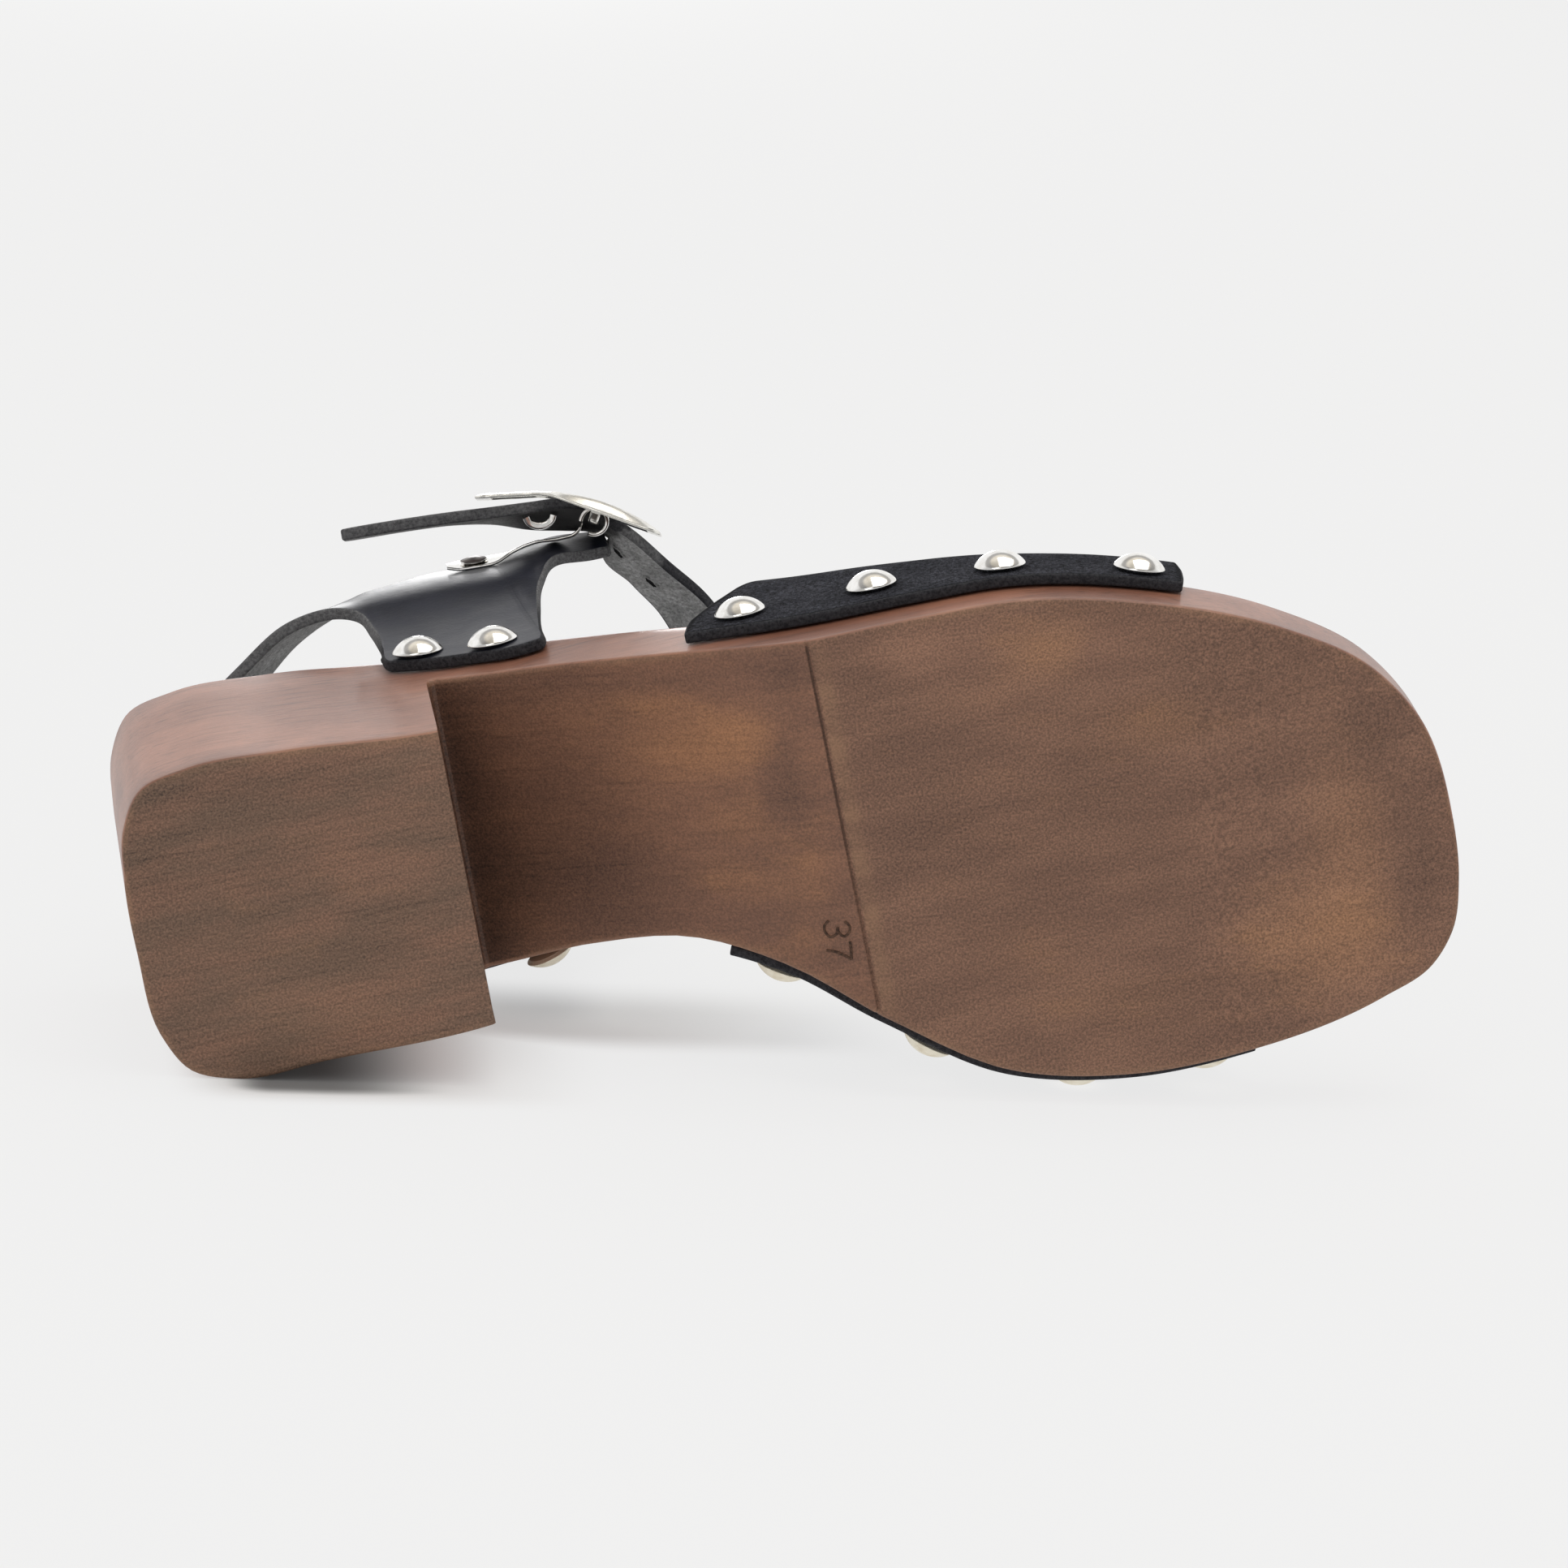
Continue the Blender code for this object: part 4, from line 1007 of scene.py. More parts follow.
def lathe(name, place, normal, profile, paints, node, rim_rings=0):
    """Round piece from a profile in the columns radius, height; its rim can have a paint of its own."""
    solid = Solid()
    place = np.asarray(place, float)
    normal = unit(normal)
    side = unit(np.cross(normal, (0.0, 0.0, 1.0)))
    up = np.cross(side, normal)
    angles = 2 * math.pi * np.arange(STUD_SIDES) / STUD_SIDES
    spokes = [math.cos(angle) * side + math.sin(angle) * up for angle in angles]
    rings = []
    for radius, height in profile:
        rings.append(solid.add(place + normal * height + radius * spoke for spoke in spokes))
    for index, (lower, upper) in enumerate(zip(rings, rings[1:])):
        solid.join(lower, upper, paint=1 if index < rim_rings else 0)
    solid.face(list(reversed(rings[0])))
    tip = solid.add([place + normal * profile[-1][1]])[0]
    for index in range(STUD_SIDES):
        solid.face((rings[-1][index], rings[-1][(index + 1) % STUD_SIDES], tip))
    return solid.make(name, paints, "nickel", node)


def dome_profile(radius, dome, skirt):
    """Domed head with a rolled rim over a narrow skirt."""
    sphere = (radius ** 2 + dome ** 2) / (2 * dome)
    opening = math.asin(min(1.0, radius / sphere))
    rows = [(radius - SKIRT_INSET, -skirt)]
    rows += [(radius - inset, height) for inset, height in ROLLED_RIM]
    for ring in range(DOME_RINGS):
        angle = opening * (1.0 - ring / DOME_RINGS)
        rows.append((sphere * math.sin(angle), STUD_RIM + sphere * math.cos(angle) - (sphere - dome)))
    return rows + [(TIP_RADIUS, STUD_RIM + dome)]


def wall_normal(x, side):
    """Outward direction of the sole's wall seen from above."""
    slope = (wall_across(x + 1.0, side) - wall_across(x - 1.0, side)) / 2
    return unit((slope, -1.0, 0.0) if side == "outer" else (-slope, 1.0, 0.0))


def make_studs(outer_paint, inner_paint):
    heads = {"outer": (dome_profile(STUD_RADIUS, STUD_DOME, STUD_SKIRT), [outer_paint]),
             "inner": (dome_profile(STUD_RADIUS, STUD_DOME_INNER, STUD_SKIRT), [inner_paint])}
    lean = math.tan(STUD_LEAN)
    for side, places in BAND_STUDS.items():
        for number, (x, rise) in enumerate(places, start=1):
            normal = wall_normal(x, side)
            base = np.array((x, wall_across(x, side), band_low(x, side) + rise))
            base += normal * (BASE_GAP + BAND_THICK + STUD_GAP)
            if side == "outer":
                normal[2] += lean
            name = f"_stud_{side}_{number}"
            lathe("toe" + name, base, normal, *heads[side], "band" + name)
    grid = strap_grid()
    third = len(grid) // 3
    parts = {"outer": slice(0, third), "inner": slice(third, 2 * third)}
    for side, number, along, height in QUARTER_STUDS:
        points, ahead, rise = grid_part(grid, parts[side])
        gaps = (heel_along(points[:, 0], points[:, 1]) - along) ** 2 + (points[:, 2] - height) ** 2
        nearest = int(np.argmin(gaps))
        x, y, z = unit(np.cross(rise[nearest], ahead[nearest]))
        c, s = math.cos(STUD_TURN[side]), math.sin(STUD_TURN[side])
        normal = np.array((c * x - s * y, s * x + c * y, z))
        base = points[nearest] + normal * (STRAP_THICK / 2 + STUD_GAP)
        normal[2] = lean
        name = f"_stud_{side}_{number}"
        lathe("heel" + name, base, normal, *heads[side], "quarter" + name)


def rounded_corners(middles, radius, steps):
    """Closed outline of quarter circles around the middles of four corners."""
    points = []
    for (x, y), start in zip(middles, (0.0, 90.0, 180.0, 270.0)):
        for angle in np.radians(start + 90.0 * np.arange(steps + 1) / steps):
            points.append((x + radius * math.cos(angle), y + radius * math.sin(angle)))
    return points


def rounded_section(width, thick, round_by):
    """Closed section with rounded corners, in the columns across, up."""
    across, up = width / 2 - round_by, thick / 2 - round_by
    middles = ((across, up), (-across, up), (-across, -up), (across, -up))
    return rounded_corners(middles, round_by, SECTION_STEPS)


def sweep(solid, path, ups, sections, closed):
    """Skin of sections carried along a path; each section lies across the path with its up direction."""
    path = np.asarray(path, float)
    if closed:
        ahead = np.roll(path, -1, axis=0) - np.roll(path, 1, axis=0)
    else:
        ahead = np.gradient(path, axis=0)
    ahead = unit(ahead)
    rings = []
    for point, way, up, section in zip(path, ahead, ups, sections):
        up = unit(up - way * (np.asarray(up) @ way))
        side = np.cross(way, up)
        rings.append(solid.add(point + side * across + up * rise for across, rise in section))
    for before, after in zip(rings, rings[1:]):
        solid.join(before, after)
    if closed:
        solid.join(rings[-1], rings[0])
    else:
        solid.face(list(reversed(rings[0])))
        solid.face(rings[-1])
    return solid


# The frame is bent softly over this distance to either side.
BUCKLE_SOFT = 2.0
BUCKLE_SOFT_STEPS = 9
BUCKLE_CORNER = 1.6
CORNER_STEPS = 6
LOOP_STEP = 0.7
BUCKLE_BOW = 1.6
# Section of the frame's rails with a bevel on the outside, in the columns across, up, share of the bow.
RAIL_SECTION = (
    (1.3, -0.5, 0.0), (1.4, -0.42, 0.0), (1.4, -0.18, 0.0), (1.32, -0.1, 0.0), (1.16, -0.1, 0.0),
    (1.16, 0.0, 0.05), (0.7, 0.12, 0.3), (0.1, 0.22, 0.66), (-0.5, 0.28, 0.97), (-0.8, 0.3, 1.0),
    (-1.1, 0.28, 0.98), (-1.32, 0.2, 0.9), (-1.4, 0.05, 0.8), (-1.4, -0.4, 0.0), (-1.3, -0.5, 0.0),
)
# The bar's ends reach into the rails, and its bends are divided into steps.
BAR_ROOT = 0.6
BAR_STEPS = 5
BUCKLE_WELD = 0.0005
METAL_SMOOTH = 45.0
# Rounding of a strip's edges: at most this, and at most this part of its thickness.
STRIP_ROUND = 0.35
STRIP_ROUND_PART = 2.2


def buckle_line(marks):
    """Middle points and outward directions at distances along the bent frame, and its knots' distances."""
    line = np.array(BUCKLE_LINE)
    reach = np.concatenate([[0.0], np.cumsum(np.linalg.norm(np.diff(line, axis=0), axis=1))])
    first, second = unit(np.diff(line, axis=0))
    spread = np.linspace(-BUCKLE_SOFT, BUCKLE_SOFT, BUCKLE_SOFT_STEPS)
    points = []
    ways = []
    for mark in marks:
        room = min(1.0, mark / BUCKLE_SOFT, (reach[-1] - mark) / BUCKLE_SOFT)
        near = np.clip(mark + spread * room, 0.0, reach[-1])
        points.append([np.interp(near, reach, line[:, axis]).mean() for axis in (0, 1)] + [BUCKLE_HEIGHT])
        turn = ramp(mark, reach[1] - BUCKLE_SOFT, reach[1] + BUCKLE_SOFT)
        wing = unit(first * (1 - turn) + second * turn)
        ways.append(np.cross((*wing, 0.0), BUCKLE_ACROSS))
    return np.array(points), np.array(ways), reach


def make_buckle(paint):
    """Bent frame with rounded corners and a dropped middle bar."""
    reach = buckle_line([0.0])[2]
    length, bend = reach[-1], reach[1]
    margin = BUCKLE_RAIL / 2 + BUCKLE_CORNER
    rear, front, far = margin, length - margin, BUCKLE_HALF_WIDTH - margin
    corners = ((front, far), (rear, far), (rear, -far), (front, -far))
    outline = rounded_corners(corners, BUCKLE_CORNER, CORNER_STEPS)
    loop = []
    for start, end in zip(outline, outline[1:] + outline[:1]):
        steps = max(1, int(math.dist(start, end) / LOOP_STEP))
        loop += between(start, end, np.arange(steps) / steps)
    marks, widths = np.transpose(loop)
    points, ways, _ = buckle_line(marks)
    sections = []
    for mark in marks:
        bow = BUCKLE_BOW * math.sin(math.pi * ramp(mark, bend, length))
        sections.append([(across, rise + bow * share) for across, rise, share in RAIL_SECTION])
    solid = sweep(Solid(), points + widths[:, None] * BUCKLE_ACROSS, ways, sections, True)
    middle, way, _ = buckle_line([BUCKLE_BAR_AT])
    inside = BUCKLE_HALF_WIDTH - BUCKLE_RAIL
    half = np.linspace(inside - BUCKLE_BAR_SLOPE - BAR_ROOT, inside, BAR_STEPS)
    half = np.append(half, inside + BAR_ROOT)
    widths = np.concatenate([-half[::-1], half])
    drops = BUCKLE_BAR_DROP * ramp(np.abs(widths), inside, inside - BUCKLE_BAR_SLOPE)
    path = [middle[0] + width * BUCKLE_ACROSS - way[0] * drop for width, drop in zip(widths, drops)]
    section = rounded_section(BUCKLE_BAR, BUCKLE_BAR_THICK, BUCKLE_BAR_ROUND)
    sweep(solid, path, [way[0]] * len(path), [section] * len(path), False)
    return solid.make("strap_buckle", [paint], "nickel", "buckle_frame", METAL_SMOOTH, BUCKLE_WELD)


def strip(name, line, widths, paint, node, thick=SHEET_THICK, shift=0.0, steps=8, twists=STRAIGHT):
    """Bent strip of sheet metal with rounded edges; widths and twists go by shares of its length."""
    curve = smooth_curve(line, steps)
    ahead = unit(np.gradient(curve, axis=0))
    path = [np.array((x, y, BUCKLE_HEIGHT)) + shift * BUCKLE_ACROSS for x, y in curve]
    shares = np.linspace(0.0, 1.0, len(path))
    ways = []
    for way, turn in zip(ahead, np.interp(shares, *zip(*twists))):
        ways.append(math.cos(turn) * np.cross((*way, 0.0), BUCKLE_ACROSS) - math.sin(turn) * BUCKLE_ACROSS)
    round_by = min(STRIP_ROUND, thick / STRIP_ROUND_PART)
    sections = [rounded_section(width, thick, round_by) for width in np.interp(shares, *zip(*widths))]
    sweep(Solid(), path, ways, sections, False).make(name, [paint], "nickel", node, METAL_SMOOTH)


def make_small_metal(paint, dark_paint):
    """Hook plate, clip, ring and rivet."""
    strip("plate_leaf", HOOK_PLATE_LINE, HOOK_PLATE_WIDTHS, paint, "hook_plate", twists=PLATE_TWISTS)
    strip("bar_loop", BAR_CLIP_LINE, BAR_CLIP_WIDTHS, paint, "bar_clip", BAR_CLIP_THICK, BAR_CLIP_SHIFT)
    x, y = HOOK_RING_MIDDLE
    angles = np.linspace(*HOOK_RING_SPAN, HOOK_RING_STEPS + 1)
    line = [(x + HOOK_RING_RADIUS * math.cos(a), y + HOOK_RING_RADIUS * math.sin(a)) for a in angles]
    strip("hook_loop", line, HOOK_RING_WIDTHS, paint, "hook_ring", HOOK_RING_THICK, HOOK_RING_SHIFT, 2)
    along, across = np.subtract(HOOK_PLATE_LINE[2], HOOK_PLATE_LINE[1])
    normal = np.array((across, -along, 0.0))
    normal = unit(normal - BUCKLE_ACROSS * (normal @ BUCKLE_ACROSS) / (BUCKLE_ACROSS @ BUCKLE_ACROSS))
    normal = math.cos(PLATE_TWIST) * normal - math.sin(PLATE_TWIST) * BUCKLE_ACROSS
    head = dome_profile(RIVET_RADIUS, RIVET_DOME, RIVET_SKIRT)
    place = (*RIVET_AT, BUCKLE_HEIGHT)
    lathe("leaf_rivet", place, normal, head, [dark_paint, paint], "plate_rivet", RIVET_RIM_RINGS)


# Range that noise patterns cover.
PATTERN = (0.3, 0.7)


class Nodes:
    """Shader nodes under construction."""

    def __init__(self, tree):
        self.tree = tree

    def feed(self, socket, value):
        if isinstance(value, bpy.types.NodeSocket):
            self.tree.links.new(value, socket)
        else:
            socket.default_value = value

    def new(self, kind, **sockets):
        """Node with its sockets fed by name."""
        node = self.tree.nodes.new("ShaderNode" + kind)
        for name, value in sockets.items():
            self.feed(node.inputs[name.replace("_", " ")], value)
        return node

    def parts(self, output):
        """The three parts of a place or direction."""
        way = self.new("TexCoord").outputs[output]
        return self.new("SeparateXYZ", Vector=way).outputs

    def range(self, value, low, high, start=0.0, end=1.0):
        """Soft step from start to end where the value goes from low to high."""
        node = self.new("MapRange", Value=value, From_Min=low, From_Max=high, To_Min=start, To_Max=end)
        node.interpolation_type = "SMOOTHSTEP"
        return node.outputs["Result"]


class Paint(Nodes):
    """Node material under construction, in the shoe's own millimetres."""

    def __init__(self, name, roughness, **sockets):
        self.material = bpy.data.materials.new(name)
        self.material.use_nodes = True
        super().__init__(self.material.node_tree)
        self.shader = self.tree.nodes["Principled BSDF"]
        self.shader.inputs["Roughness"].default_value = roughness
        for socket, value in sockets.items():
            self.shader.inputs[socket.replace("_", " ")].default_value = value

    def mark(self, name):
        """Mark of the mesh's points."""
        node = self.new("Attribute")
        node.attribute_name = name
        return node.outputs["Vector" if name == "place" else "Fac"]

    def place(self, stretch=(1.0, 1.0, 1.0), turn=0.0):
        """Place on the shoe, turned and then stretched."""
        turned = self.new("Mapping", Vector=self.mark("place"), Rotation=(0.0, 0.0, turn))
        return self.operate("VectorMath", "MULTIPLY", turned.outputs["Vector"], stretch)

    def noise(self, scale, detail=4.0, rough=0.55, **place):
        """Noise over the shoe, at a place that can be turned and stretched."""
        node = self.new("TexNoise", Vector=self.place(**place), Scale=scale, Detail=detail, Roughness=rough)
        return node.outputs["Fac"]

    def grains(self, scale):
        """Distance from the middles of scattered grains."""
        return self.new("TexVoronoi", Vector=self.place(), Scale=scale).outputs["Distance"]

    def operate(self, kind, operation, first, second, socket=1):
        """Result of an operation on two values, with the socket that takes the second."""
        node = self.new(kind)
        node.operation = operation
        self.feed(node.inputs[0], first)
        self.feed(node.inputs[socket], second)
        return node.outputs[0]

    def sum(self, operation, first, second):
        """Number from two numbers."""
        return self.operate("Math", operation, first, second)

    def mix(self, share, first, second):
        """Colour between two colours."""
        node = self.new("Mix")
        node.data_type = "RGBA"
        self.feed(node.inputs[0], share)
        for index, colour in ((6, first), (7, second)):
            self.feed(node.inputs[index], (*colour, 1.0) if isinstance(colour, tuple) else colour)
        return node.outputs[2]

    def tint(self, pattern, first, second):
        """Colour that goes from the first to the second with a pattern."""
        return self.mix(self.range(pattern, *PATTERN), first, second)

    def shade(self, colour, amount):
        """Colour made darker or lighter by a factor."""
        return self.operate("VectorMath", "SCALE", colour, amount, "Scale")

    def bump(self, height, depth, **normal):
        """Normal of a relief with its depth in millimetres, over another normal if given."""
        node = self.new("Bump", Strength=1.0, Distance=depth * MM, Height=height, **normal)
        return node.outputs["Normal"]

    def done(self, colour, normal=None, roughness=None):
        """The finished material."""
        for socket, value in (("Base Color", colour), ("Normal", normal), ("Roughness", roughness)):
            if value is not None:
                self.tree.links.new(value, self.shader.inputs[socket])
        return self.material


# Woods of the sole: walls, heel end, arch, tread. Columns: name, deep, pale and warm colour, speckle,
# streaks, roughness, coat, coat's roughness, stretch of the grain upright, clouds.
WOODS = (
    ("scene_wood_wall", (0.23, 0.095, 0.058), (0.31, 0.134, 0.082), (0.4, 0.165, 0.083),
     0.08, 0.3, 0.45, 0.22, 0.12, 1.0, 0.5),
    ("scene_wood_heel", (0.172, 0.102, 0.066), (0.215, 0.114, 0.072), (0.3, 0.155, 0.08),
     0.5, 0.2, 0.7, 0.0, 0.3, 0.05, 0.3),
    ("scene_wood_arch", (0.185, 0.086, 0.051), (0.225, 0.104, 0.058), (0.33, 0.15, 0.066),
     0.34, 0.12, 0.6, 0.03, 0.35, 0.05, 0.25),
    ("scene_wood_tread", (0.2, 0.103, 0.065), (0.235, 0.122, 0.076), (0.33, 0.165, 0.08),
     0.5, 0.05, 0.7, 0.0, 0.3, 0.05, 0.25),
)
WORN_RIM = (0.33, 0.185, 0.1)
GROOVE_SHADE = (0.04, 0.022, 0.016)
DARKEST_TONE = 0.08
SUEDE = ((0.026, 0.027, 0.034), (0.043, 0.044, 0.054))
LEATHER = ((0.009, 0.0105, 0.019), (0.0155, 0.0175, 0.03))
FLESH = ((0.35, 0.35, 0.35), (0.56, 0.56, 0.56))
# Flesh side darkened as painted shade round the buckle's bar.
BAR_SHADE_FLESH = (0.012, 0.012, 0.014)
DARK_EDGE = ((0.016, 0.016, 0.019), (0.06, 0.06, 0.066))
PALE_EDGE = ((0.08, 0.08, 0.083), (0.22, 0.22, 0.225))
STAMP = ((0.045, 0.026, 0.018), (0.12, 0.065, 0.042))
# Painted shade of the slits' openings.
SLIT_SHADE = ((0.006, 0.006, 0.007), (0.03, 0.03, 0.031))
INSOLE = ((0.03, 0.024, 0.02), (0.06, 0.048, 0.04))
# Nickels, in the columns name, bright and dull colour, roughness, share of metal.
NICKEL = ("scene_nickel", (0.86, 0.85, 0.83), (0.74, 0.72, 0.68), 0.09, 1.0)
SATIN_NICKEL = ("scene_satin_nickel", (0.8, 0.785, 0.735), (0.7, 0.68, 0.63), 0.22, 1.0)
# Inner studs: nickel with a painted reflection, a cream tint standing in for the wood and floor they mirror.
WARM_REFLECTION_NICKEL = ("scene_warm_reflection_nickel", (0.86, 0.8, 0.66), (0.78, 0.71, 0.57), 0.5, 0.5)
DARK_NICKEL = ("scene_dark_nickel", (0.12, 0.085, 0.07), (0.08, 0.055, 0.045), 0.4, 0.3)


def wood_paint(name, deep, pale, warm, speckle, streaks, roughness, coat, coat_roughness, upright, clouds):
    """Stained wood with lengthwise grain, speckle, patches and rims paled by use, with painted shade on the
    breast, the arch and in the groove's bottom.
    """
    paint = Paint(name, roughness, Coat_Weight=coat, Coat_Roughness=coat_roughness)
    lines = paint.noise(1.1, 5.0, 0.65, stretch=(0.03, 1.0, upright), turn=HEEL_TURN)
    fine = paint.noise(3.4, 3.0, 0.6, stretch=(0.05, 1.0, upright), turn=HEEL_TURN)
    cloud = paint.noise(0.11, 4.0, 0.6, stretch=(0.3, 1.0, 0.3), turn=HEEL_TURN)
    flush = paint.noise(0.2, 4.0, 0.6, stretch=(0.35, 1.0, 0.35))
    dots = paint.noise(2.3, 4.0, 0.7)
    colour = paint.mix(paint.range(cloud, 0.35, 0.68), deep, pale)
    warmth = paint.sum("ADD", paint.mark("warm"), paint.range(flush, 0.48, 0.75, 0.0, clouds))
    colour = paint.mix(paint.range(warmth, 0.0, 1.0, 0.0, 0.8), colour, warm)
    # The tone-and-shade mark brings the underside's patches and the painted shade of the breast and the arch.
    tone = paint.range(lines, 0.4, 0.7, 1.0, 1.0 + 0.5 * streaks)
    for change in (paint.range(lines, 0.3, 0.46, -1.3 * streaks, 0.0), paint.mark("tone"),
                   paint.range(fine, 0.25, 0.75, -0.4 * streaks, 0.4 * streaks),
                   paint.range(dots, 0.3, 0.72, -speckle, speckle),
                   paint.range(cloud, *PATTERN, -0.2 * clouds, 0.2 * clouds)):
        tone = paint.sum("ADD", tone, change)
    colour = paint.shade(colour, paint.sum("MAXIMUM", tone, DARKEST_TONE))
    worn = paint.mark("worn")
    rim = paint.sum("MULTIPLY", paint.range(worn, 0.2, 1.0), paint.range(cloud, 0.35, 0.65, 0.12, 0.5))
    colour = paint.mix(rim, colour, WORN_RIM)
    # Painted shade in the groove's bottom, where the wear-and-shade mark is below zero.
    colour = paint.mix(paint.range(worn, -1.0, -0.1, 0.62, 0.0), colour, GROOVE_SHADE)
    pits = paint.range(dots, 0.2, 0.8, 0.0, speckle * 3)
    height = paint.sum("ADD", paint.range(fine, 0.2, 0.8, 0.0, 0.6), pits)
    return paint.done(colour, paint.bump(height, 0.05))


def suede_paint():
    paint = Paint("scene_suede", 0.95, Sheen_Weight=0.02, Sheen_Roughness=0.5, Specular_IOR_Level=0.05)
    nap = paint.noise(1.2, 6.0, 0.8)
    hairs = paint.noise(3.2, 4.0, 0.7, stretch=(1.0, 1.0, 0.35), turn=0.4)
    colour = paint.tint(paint.noise(0.12, 3.0), *SUEDE)
    colour = paint.shade(colour, paint.range(nap, 0.32, 0.68, 0.1, 2.2))
    colour = paint.shade(colour, paint.range(paint.mark("tone"), 0.0, 1.0, 1.0, 0.3))
    colour = paint.shade(colour, paint.range(hairs, 0.3, 0.75, 0.6, 1.6))
    height = paint.sum("ADD", nap, paint.range(hairs, 0.2, 0.8, 0.0, 0.4))
    return paint.done(colour, paint.bump(height, 0.5))


def leather_paint():
    paint = Paint("scene_leather", 0.5, Coat_Weight=0.4, Coat_Roughness=0.28, Specular_IOR_Level=0.25)
    cloud = paint.noise(0.18, 3.0)
    creases = paint.bump(paint.noise(0.55, 3.0), 0.07)
    pores = paint.bump(paint.grains(1.5), 0.035, Normal=creases)
    return paint.done(paint.tint(cloud, *LEATHER), pores, paint.range(cloud, *PATTERN, 0.44, 0.56))


def flesh_paint():
    paint = Paint("scene_flesh_side", 0.95, Sheen_Weight=0.3, Sheen_Roughness=0.5, Specular_IOR_Level=0.2)
    fuzz = paint.noise(1.4, 6.0, 0.8)
    colour = paint.tint(paint.noise(0.25, 3.0), *FLESH)
    colour = paint.shade(colour, paint.range(fuzz, *PATTERN, 0.4, 1.6))
    # Painted shade on the flesh side round the buckle's bar.
    colour = paint.mix(paint.range(paint.mark("tone"), 0.0, 1.0), colour, BAR_SHADE_FLESH)
    return paint.done(colour, paint.bump(fuzz, 0.9))


def edge_paint():
    paint = Paint("scene_cut_edge", 0.9, Sheen_Weight=0.04, Specular_IOR_Level=0.1)
    fuzz = paint.noise(1.6, 5.0, 0.75)
    dark = paint.tint(fuzz, *DARK_EDGE)
    pale = paint.tint(fuzz, *PALE_EDGE)
    return paint.done(paint.mix(paint.mark("warm"), dark, pale), paint.bump(fuzz, 0.35))


def stamp_paint():
    paint = Paint("scene_stamp", 0.8, Specular_IOR_Level=0.2)
    return paint.done(paint.tint(paint.noise(1.6, 3.0), *STAMP))


def slit_shade_paint():
    paint = Paint("scene_slit_shade", 0.95, Specular_IOR_Level=0.1)
    return paint.done(paint.tint(paint.noise(2.6, 4.0), *SLIT_SHADE))


def insole_paint():
    paint = Paint("scene_insole", 0.5)
    colour = paint.tint(paint.noise(0.06, 4.0), *INSOLE)
    return paint.done(colour, paint.bump(paint.grains(1.2), 0.05))


def nickel_paint(name, bright, dull, roughness, metal):
    """Nickel with dull clouds and fine scratches."""
    paint = Paint(name, roughness, Metallic=metal)
    cloud = paint.noise(0.5, 3.0)
    scratches = paint.noise(6.0, 3.0, 0.7, stretch=(0.2, 1.0, 1.0))
    colour = paint.mix(paint.range(cloud, 0.35, 0.7), bright, dull)
    rough = paint.range(cloud, *PATTERN, roughness * 0.7, roughness * 1.5)
    return paint.done(colour, paint.bump(scratches, 0.006), rough)


# Camera in the shoe's frame: turns and lift of the view, place looked at, distance, lens and its sensor.
VIEW_SIDE = math.radians(-3.95)
VIEW_LIFT = math.radians(14.0)
VIEW_ROLL = math.radians(-4.5)
VIEW_TARGET = (120.85, -14.6, 0.0)
VIEW_DISTANCE = 2200.0
VIEW_LENS = 277.5
VIEW_SENSOR = 36.0
VIEW_CLIP = (0.1, 50.0)

# Brightness of the room in front and behind, and the span over which it changes.
FRONT_LIGHT = 0.6
BACK_LIGHT = 1.05
ROOM_SPAN = (-0.35, 0.35)
# Sky from the horizon to straight above, in the columns height, colour.
SKY = (
    (0.001, (1.0, 1.0, 1.0)),
    (0.60, (1.0, 1.0, 1.0)),
    (0.68, (0.46, 0.45, 0.44)),
    (0.77, (0.46, 0.45, 0.44)),
    (0.88, (0.9, 0.84, 0.74)),
    (0.999, (0.9, 0.84, 0.74)),
)
# Lights, in the columns name, place, place lit, width and depth, brightness.
LIGHTS = (
    ("softbox_above", (0.3, -0.15, 1.6), (0.1, -0.1, 0.0), (1.2, 1.3), 1.6),
    ("panel_behind", (-0.005, 1.3, 0.14), (-0.02, 0.0, 0.08), (0.1, 0.28), 10.0),
    ("softbox_front", (-0.9, -1.5, 1.5), (0.0, 0.0, 0.0), (1.2, 1.0), 1.2),
)

FLOOR_REACH = 6.0
# The floor's tone in full light, and how much of its grey is left in the deepest painted shadow.
FLOOR_TONE = 0.88
DEEP_GREY = 0.26
# Glow of the floor under the heel, under the arch and elsewhere.
HEEL_GLOW = 0.02
ARCH_GLOW = 0.36
FLOOR_GLOW = 0.78
# Ramps of the painted shadows on the floor: rear end and back of both, front end and near side of each.
SHADOW_REAR = (-0.114, -0.094)
SHADOW_BACK = (0.022, -0.004)
HEEL_SHADOW_END = (-0.03, -0.086)
HEEL_SHADOW_SIDE = (-0.078, -0.064)
ARCH_SHADOW_END = (0.03, -0.03)
ARCH_SHADOW_SIDE = (-0.034, -0.018)


def pose(thing, axes, place):
    """Put a thing into the scene at a place, with its three axes."""
    matrix = Matrix.Identity(4)
    for column, axis in enumerate((*axes, place)):
        for row in range(3):
            matrix[row][column] = axis[row]
    thing.matrix_world = matrix
    bpy.context.scene.collection.objects.link(thing)


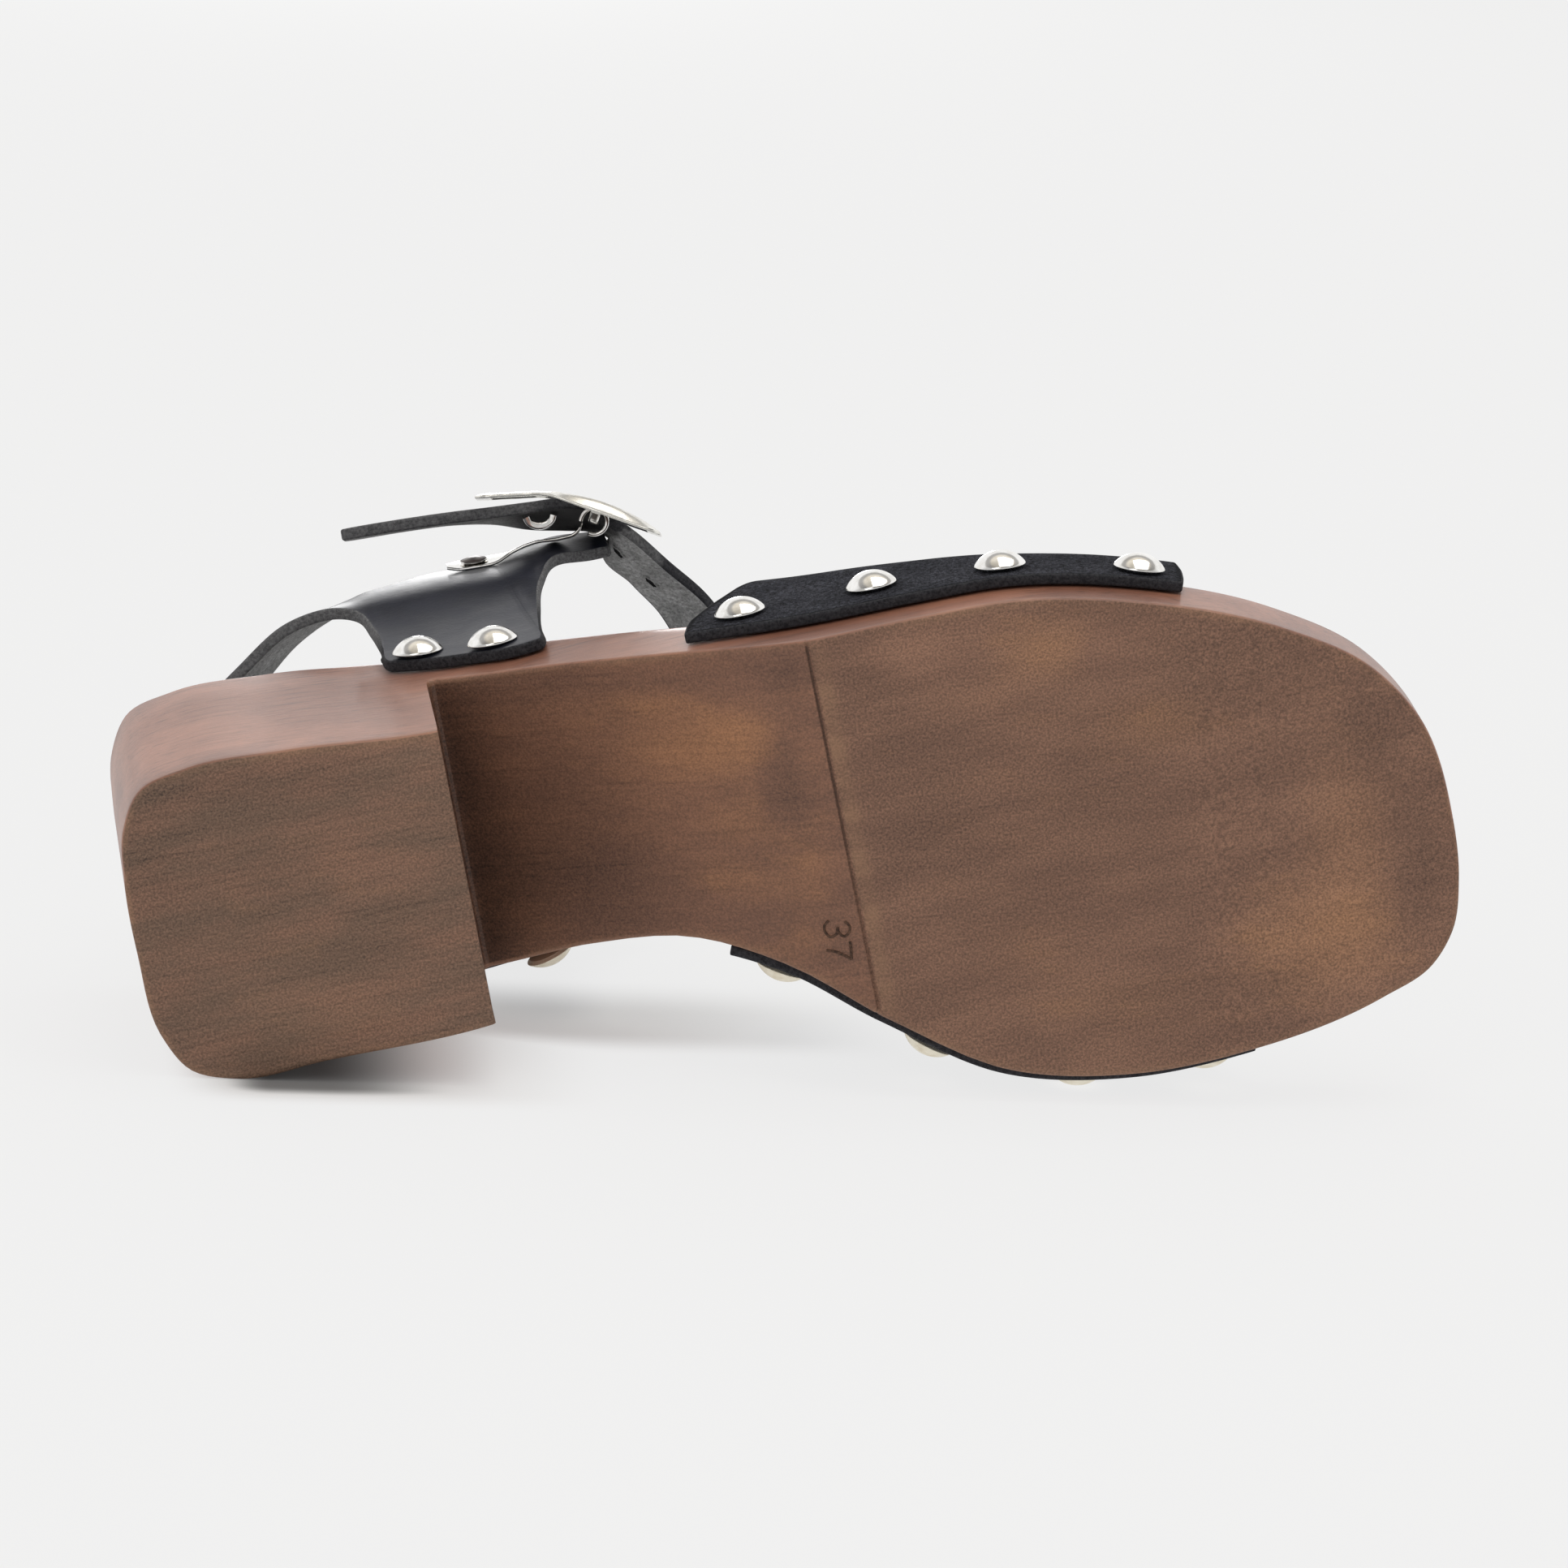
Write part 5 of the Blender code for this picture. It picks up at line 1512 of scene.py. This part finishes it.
def set_camera():
    back = np.array((math.cos(VIEW_LIFT) * math.sin(VIEW_SIDE), -math.sin(VIEW_LIFT),
                     -math.cos(VIEW_LIFT) * math.cos(VIEW_SIDE)))
    right = unit(np.cross((0.0, -1.0, 0.0), back))
    up = np.cross(back, right)
    c, s = math.cos(VIEW_ROLL), math.sin(VIEW_ROLL)
    axes = [lay_direction(way) for way in (c * right + s * up, -s * right + c * up, back)]
    data = bpy.data.cameras.new("photo_camera")
    data.lens = VIEW_LENS
    data.sensor_width = VIEW_SENSOR
    data.clip_start, data.clip_end = VIEW_CLIP
    camera = bpy.data.objects.new("photo_camera", data)
    pose(camera, axes, lay([np.array(VIEW_TARGET) + VIEW_DISTANCE * back])[0])
    bpy.context.scene.camera = camera


def area_light(name, place, target, size, radiance):
    """Soft rectangular light with an even brightness over its face."""
    data = bpy.data.lights.new(name, "AREA")
    data.shape = "RECTANGLE"
    data.size, data.size_y = size
    data.energy = radiance * math.pi * size[0] * size[1]
    light = bpy.data.objects.new(name, data)
    back = unit(np.subtract(place, target))
    right = unit(np.cross((0.0, 1.0, 0.0), back))
    pose(light, (right, np.cross(back, right), back), place)


def light_studio(tree):
    """Pale studio all round: a white backdrop, a grey band above it and a dimmer room in front."""
    nodes = Nodes(tree)
    way = nodes.parts("Generated")
    ramp_node = nodes.new("ValToRGB", Fac=way["Z"])
    ramp_node.color_ramp.interpolation = "EASE"
    stops = ramp_node.color_ramp.elements
    for place, colour in SKY:
        stops.new(place).color = (*colour, 1.0)
    stops.remove(stops[0])
    stops.remove(stops[-1])
    ground = tree.nodes["Background"]
    nodes.feed(ground.inputs["Color"], ramp_node.outputs["Color"])
    nodes.feed(ground.inputs["Strength"], nodes.range(way["Y"], *ROOM_SPAN, FRONT_LIGHT, BACK_LIGHT))


def floor_paint():
    """Pale floor that glows softly, less so under the heel and the arch, where its grey is darkened too as a
    painted shadow.
    """
    paint = Paint("scene_floor", 0.95, Specular_IOR_Level=0.0)
    place = paint.parts("Object")
    x, y = place["X"], place["Y"]
    heel = paint.sum("MULTIPLY", paint.range(x, *HEEL_SHADOW_END), paint.range(y, *HEEL_SHADOW_SIDE))
    arch = paint.sum("MULTIPLY", paint.range(x, *ARCH_SHADOW_END), paint.range(y, *ARCH_SHADOW_SIDE))
    heel = paint.sum("MULTIPLY", heel, FLOOR_GLOW - HEEL_GLOW)
    arch = paint.sum("MULTIPLY", arch, FLOOR_GLOW - ARCH_GLOW)
    start = paint.sum("MULTIPLY", paint.range(x, *SHADOW_REAR), paint.range(y, *SHADOW_BACK))
    dimmer = paint.sum("MULTIPLY", start, paint.sum("MAXIMUM", heel, arch))
    glow = paint.sum("SUBTRACT", FLOOR_GLOW, dimmer)
    grey = paint.sum("SUBTRACT", FLOOR_TONE, glow)
    # Painted shadow: the floor's grey is darkened where its glow drops.
    grey = paint.sum("MULTIPLY", grey, paint.range(glow, HEEL_GLOW, ARCH_GLOW, DEEP_GREY, 1.0))
    paint.feed(paint.shader.inputs["Emission Strength"], glow)
    paint.feed(paint.shader.inputs["Emission Color"], (1.0, 1.0, 1.0, 1.0))
    return paint.done(paint.shade((1.0, 1.0, 1.0), grey))


def set_stage():
    scene = bpy.context.scene
    scene.view_settings.view_transform = "Standard"
    world = bpy.data.worlds.new("studio")
    world.use_nodes = True
    light_studio(world.node_tree)
    scene.world = world
    for light in LIGHTS:
        area_light(*light)
    mesh = bpy.data.meshes.new("floor")
    corners = [(x * FLOOR_REACH, y * FLOOR_REACH, 0.0) for x, y in ((-1, -1), (1, -1), (1, 1), (-1, 1))]
    mesh.from_pydata(corners, [], [(0, 1, 2, 3)])
    mesh.materials.append(floor_paint())
    floor = bpy.data.objects.new("floor", mesh)
    scene.collection.objects.link(floor)


def main():
    suede, leather, flesh, edge = suede_paint(), leather_paint(), flesh_paint(), edge_paint()
    nickel = nickel_paint(*NICKEL)
    make_sole([wood_paint(*wood) for wood in WOODS])
    make_stamp(stamp_paint())
    make_insole(insole_paint())
    make_band([suede, flesh, edge])
    make_straps([leather, flesh, edge])
    make_slits([flesh, slit_shade_paint()])
    make_studs(nickel, nickel_paint(*WARM_REFLECTION_NICKEL))
    make_buckle(nickel_paint(*SATIN_NICKEL))
    make_small_metal(nickel, nickel_paint(*DARK_NICKEL))
    set_stage()
    set_camera()


main()
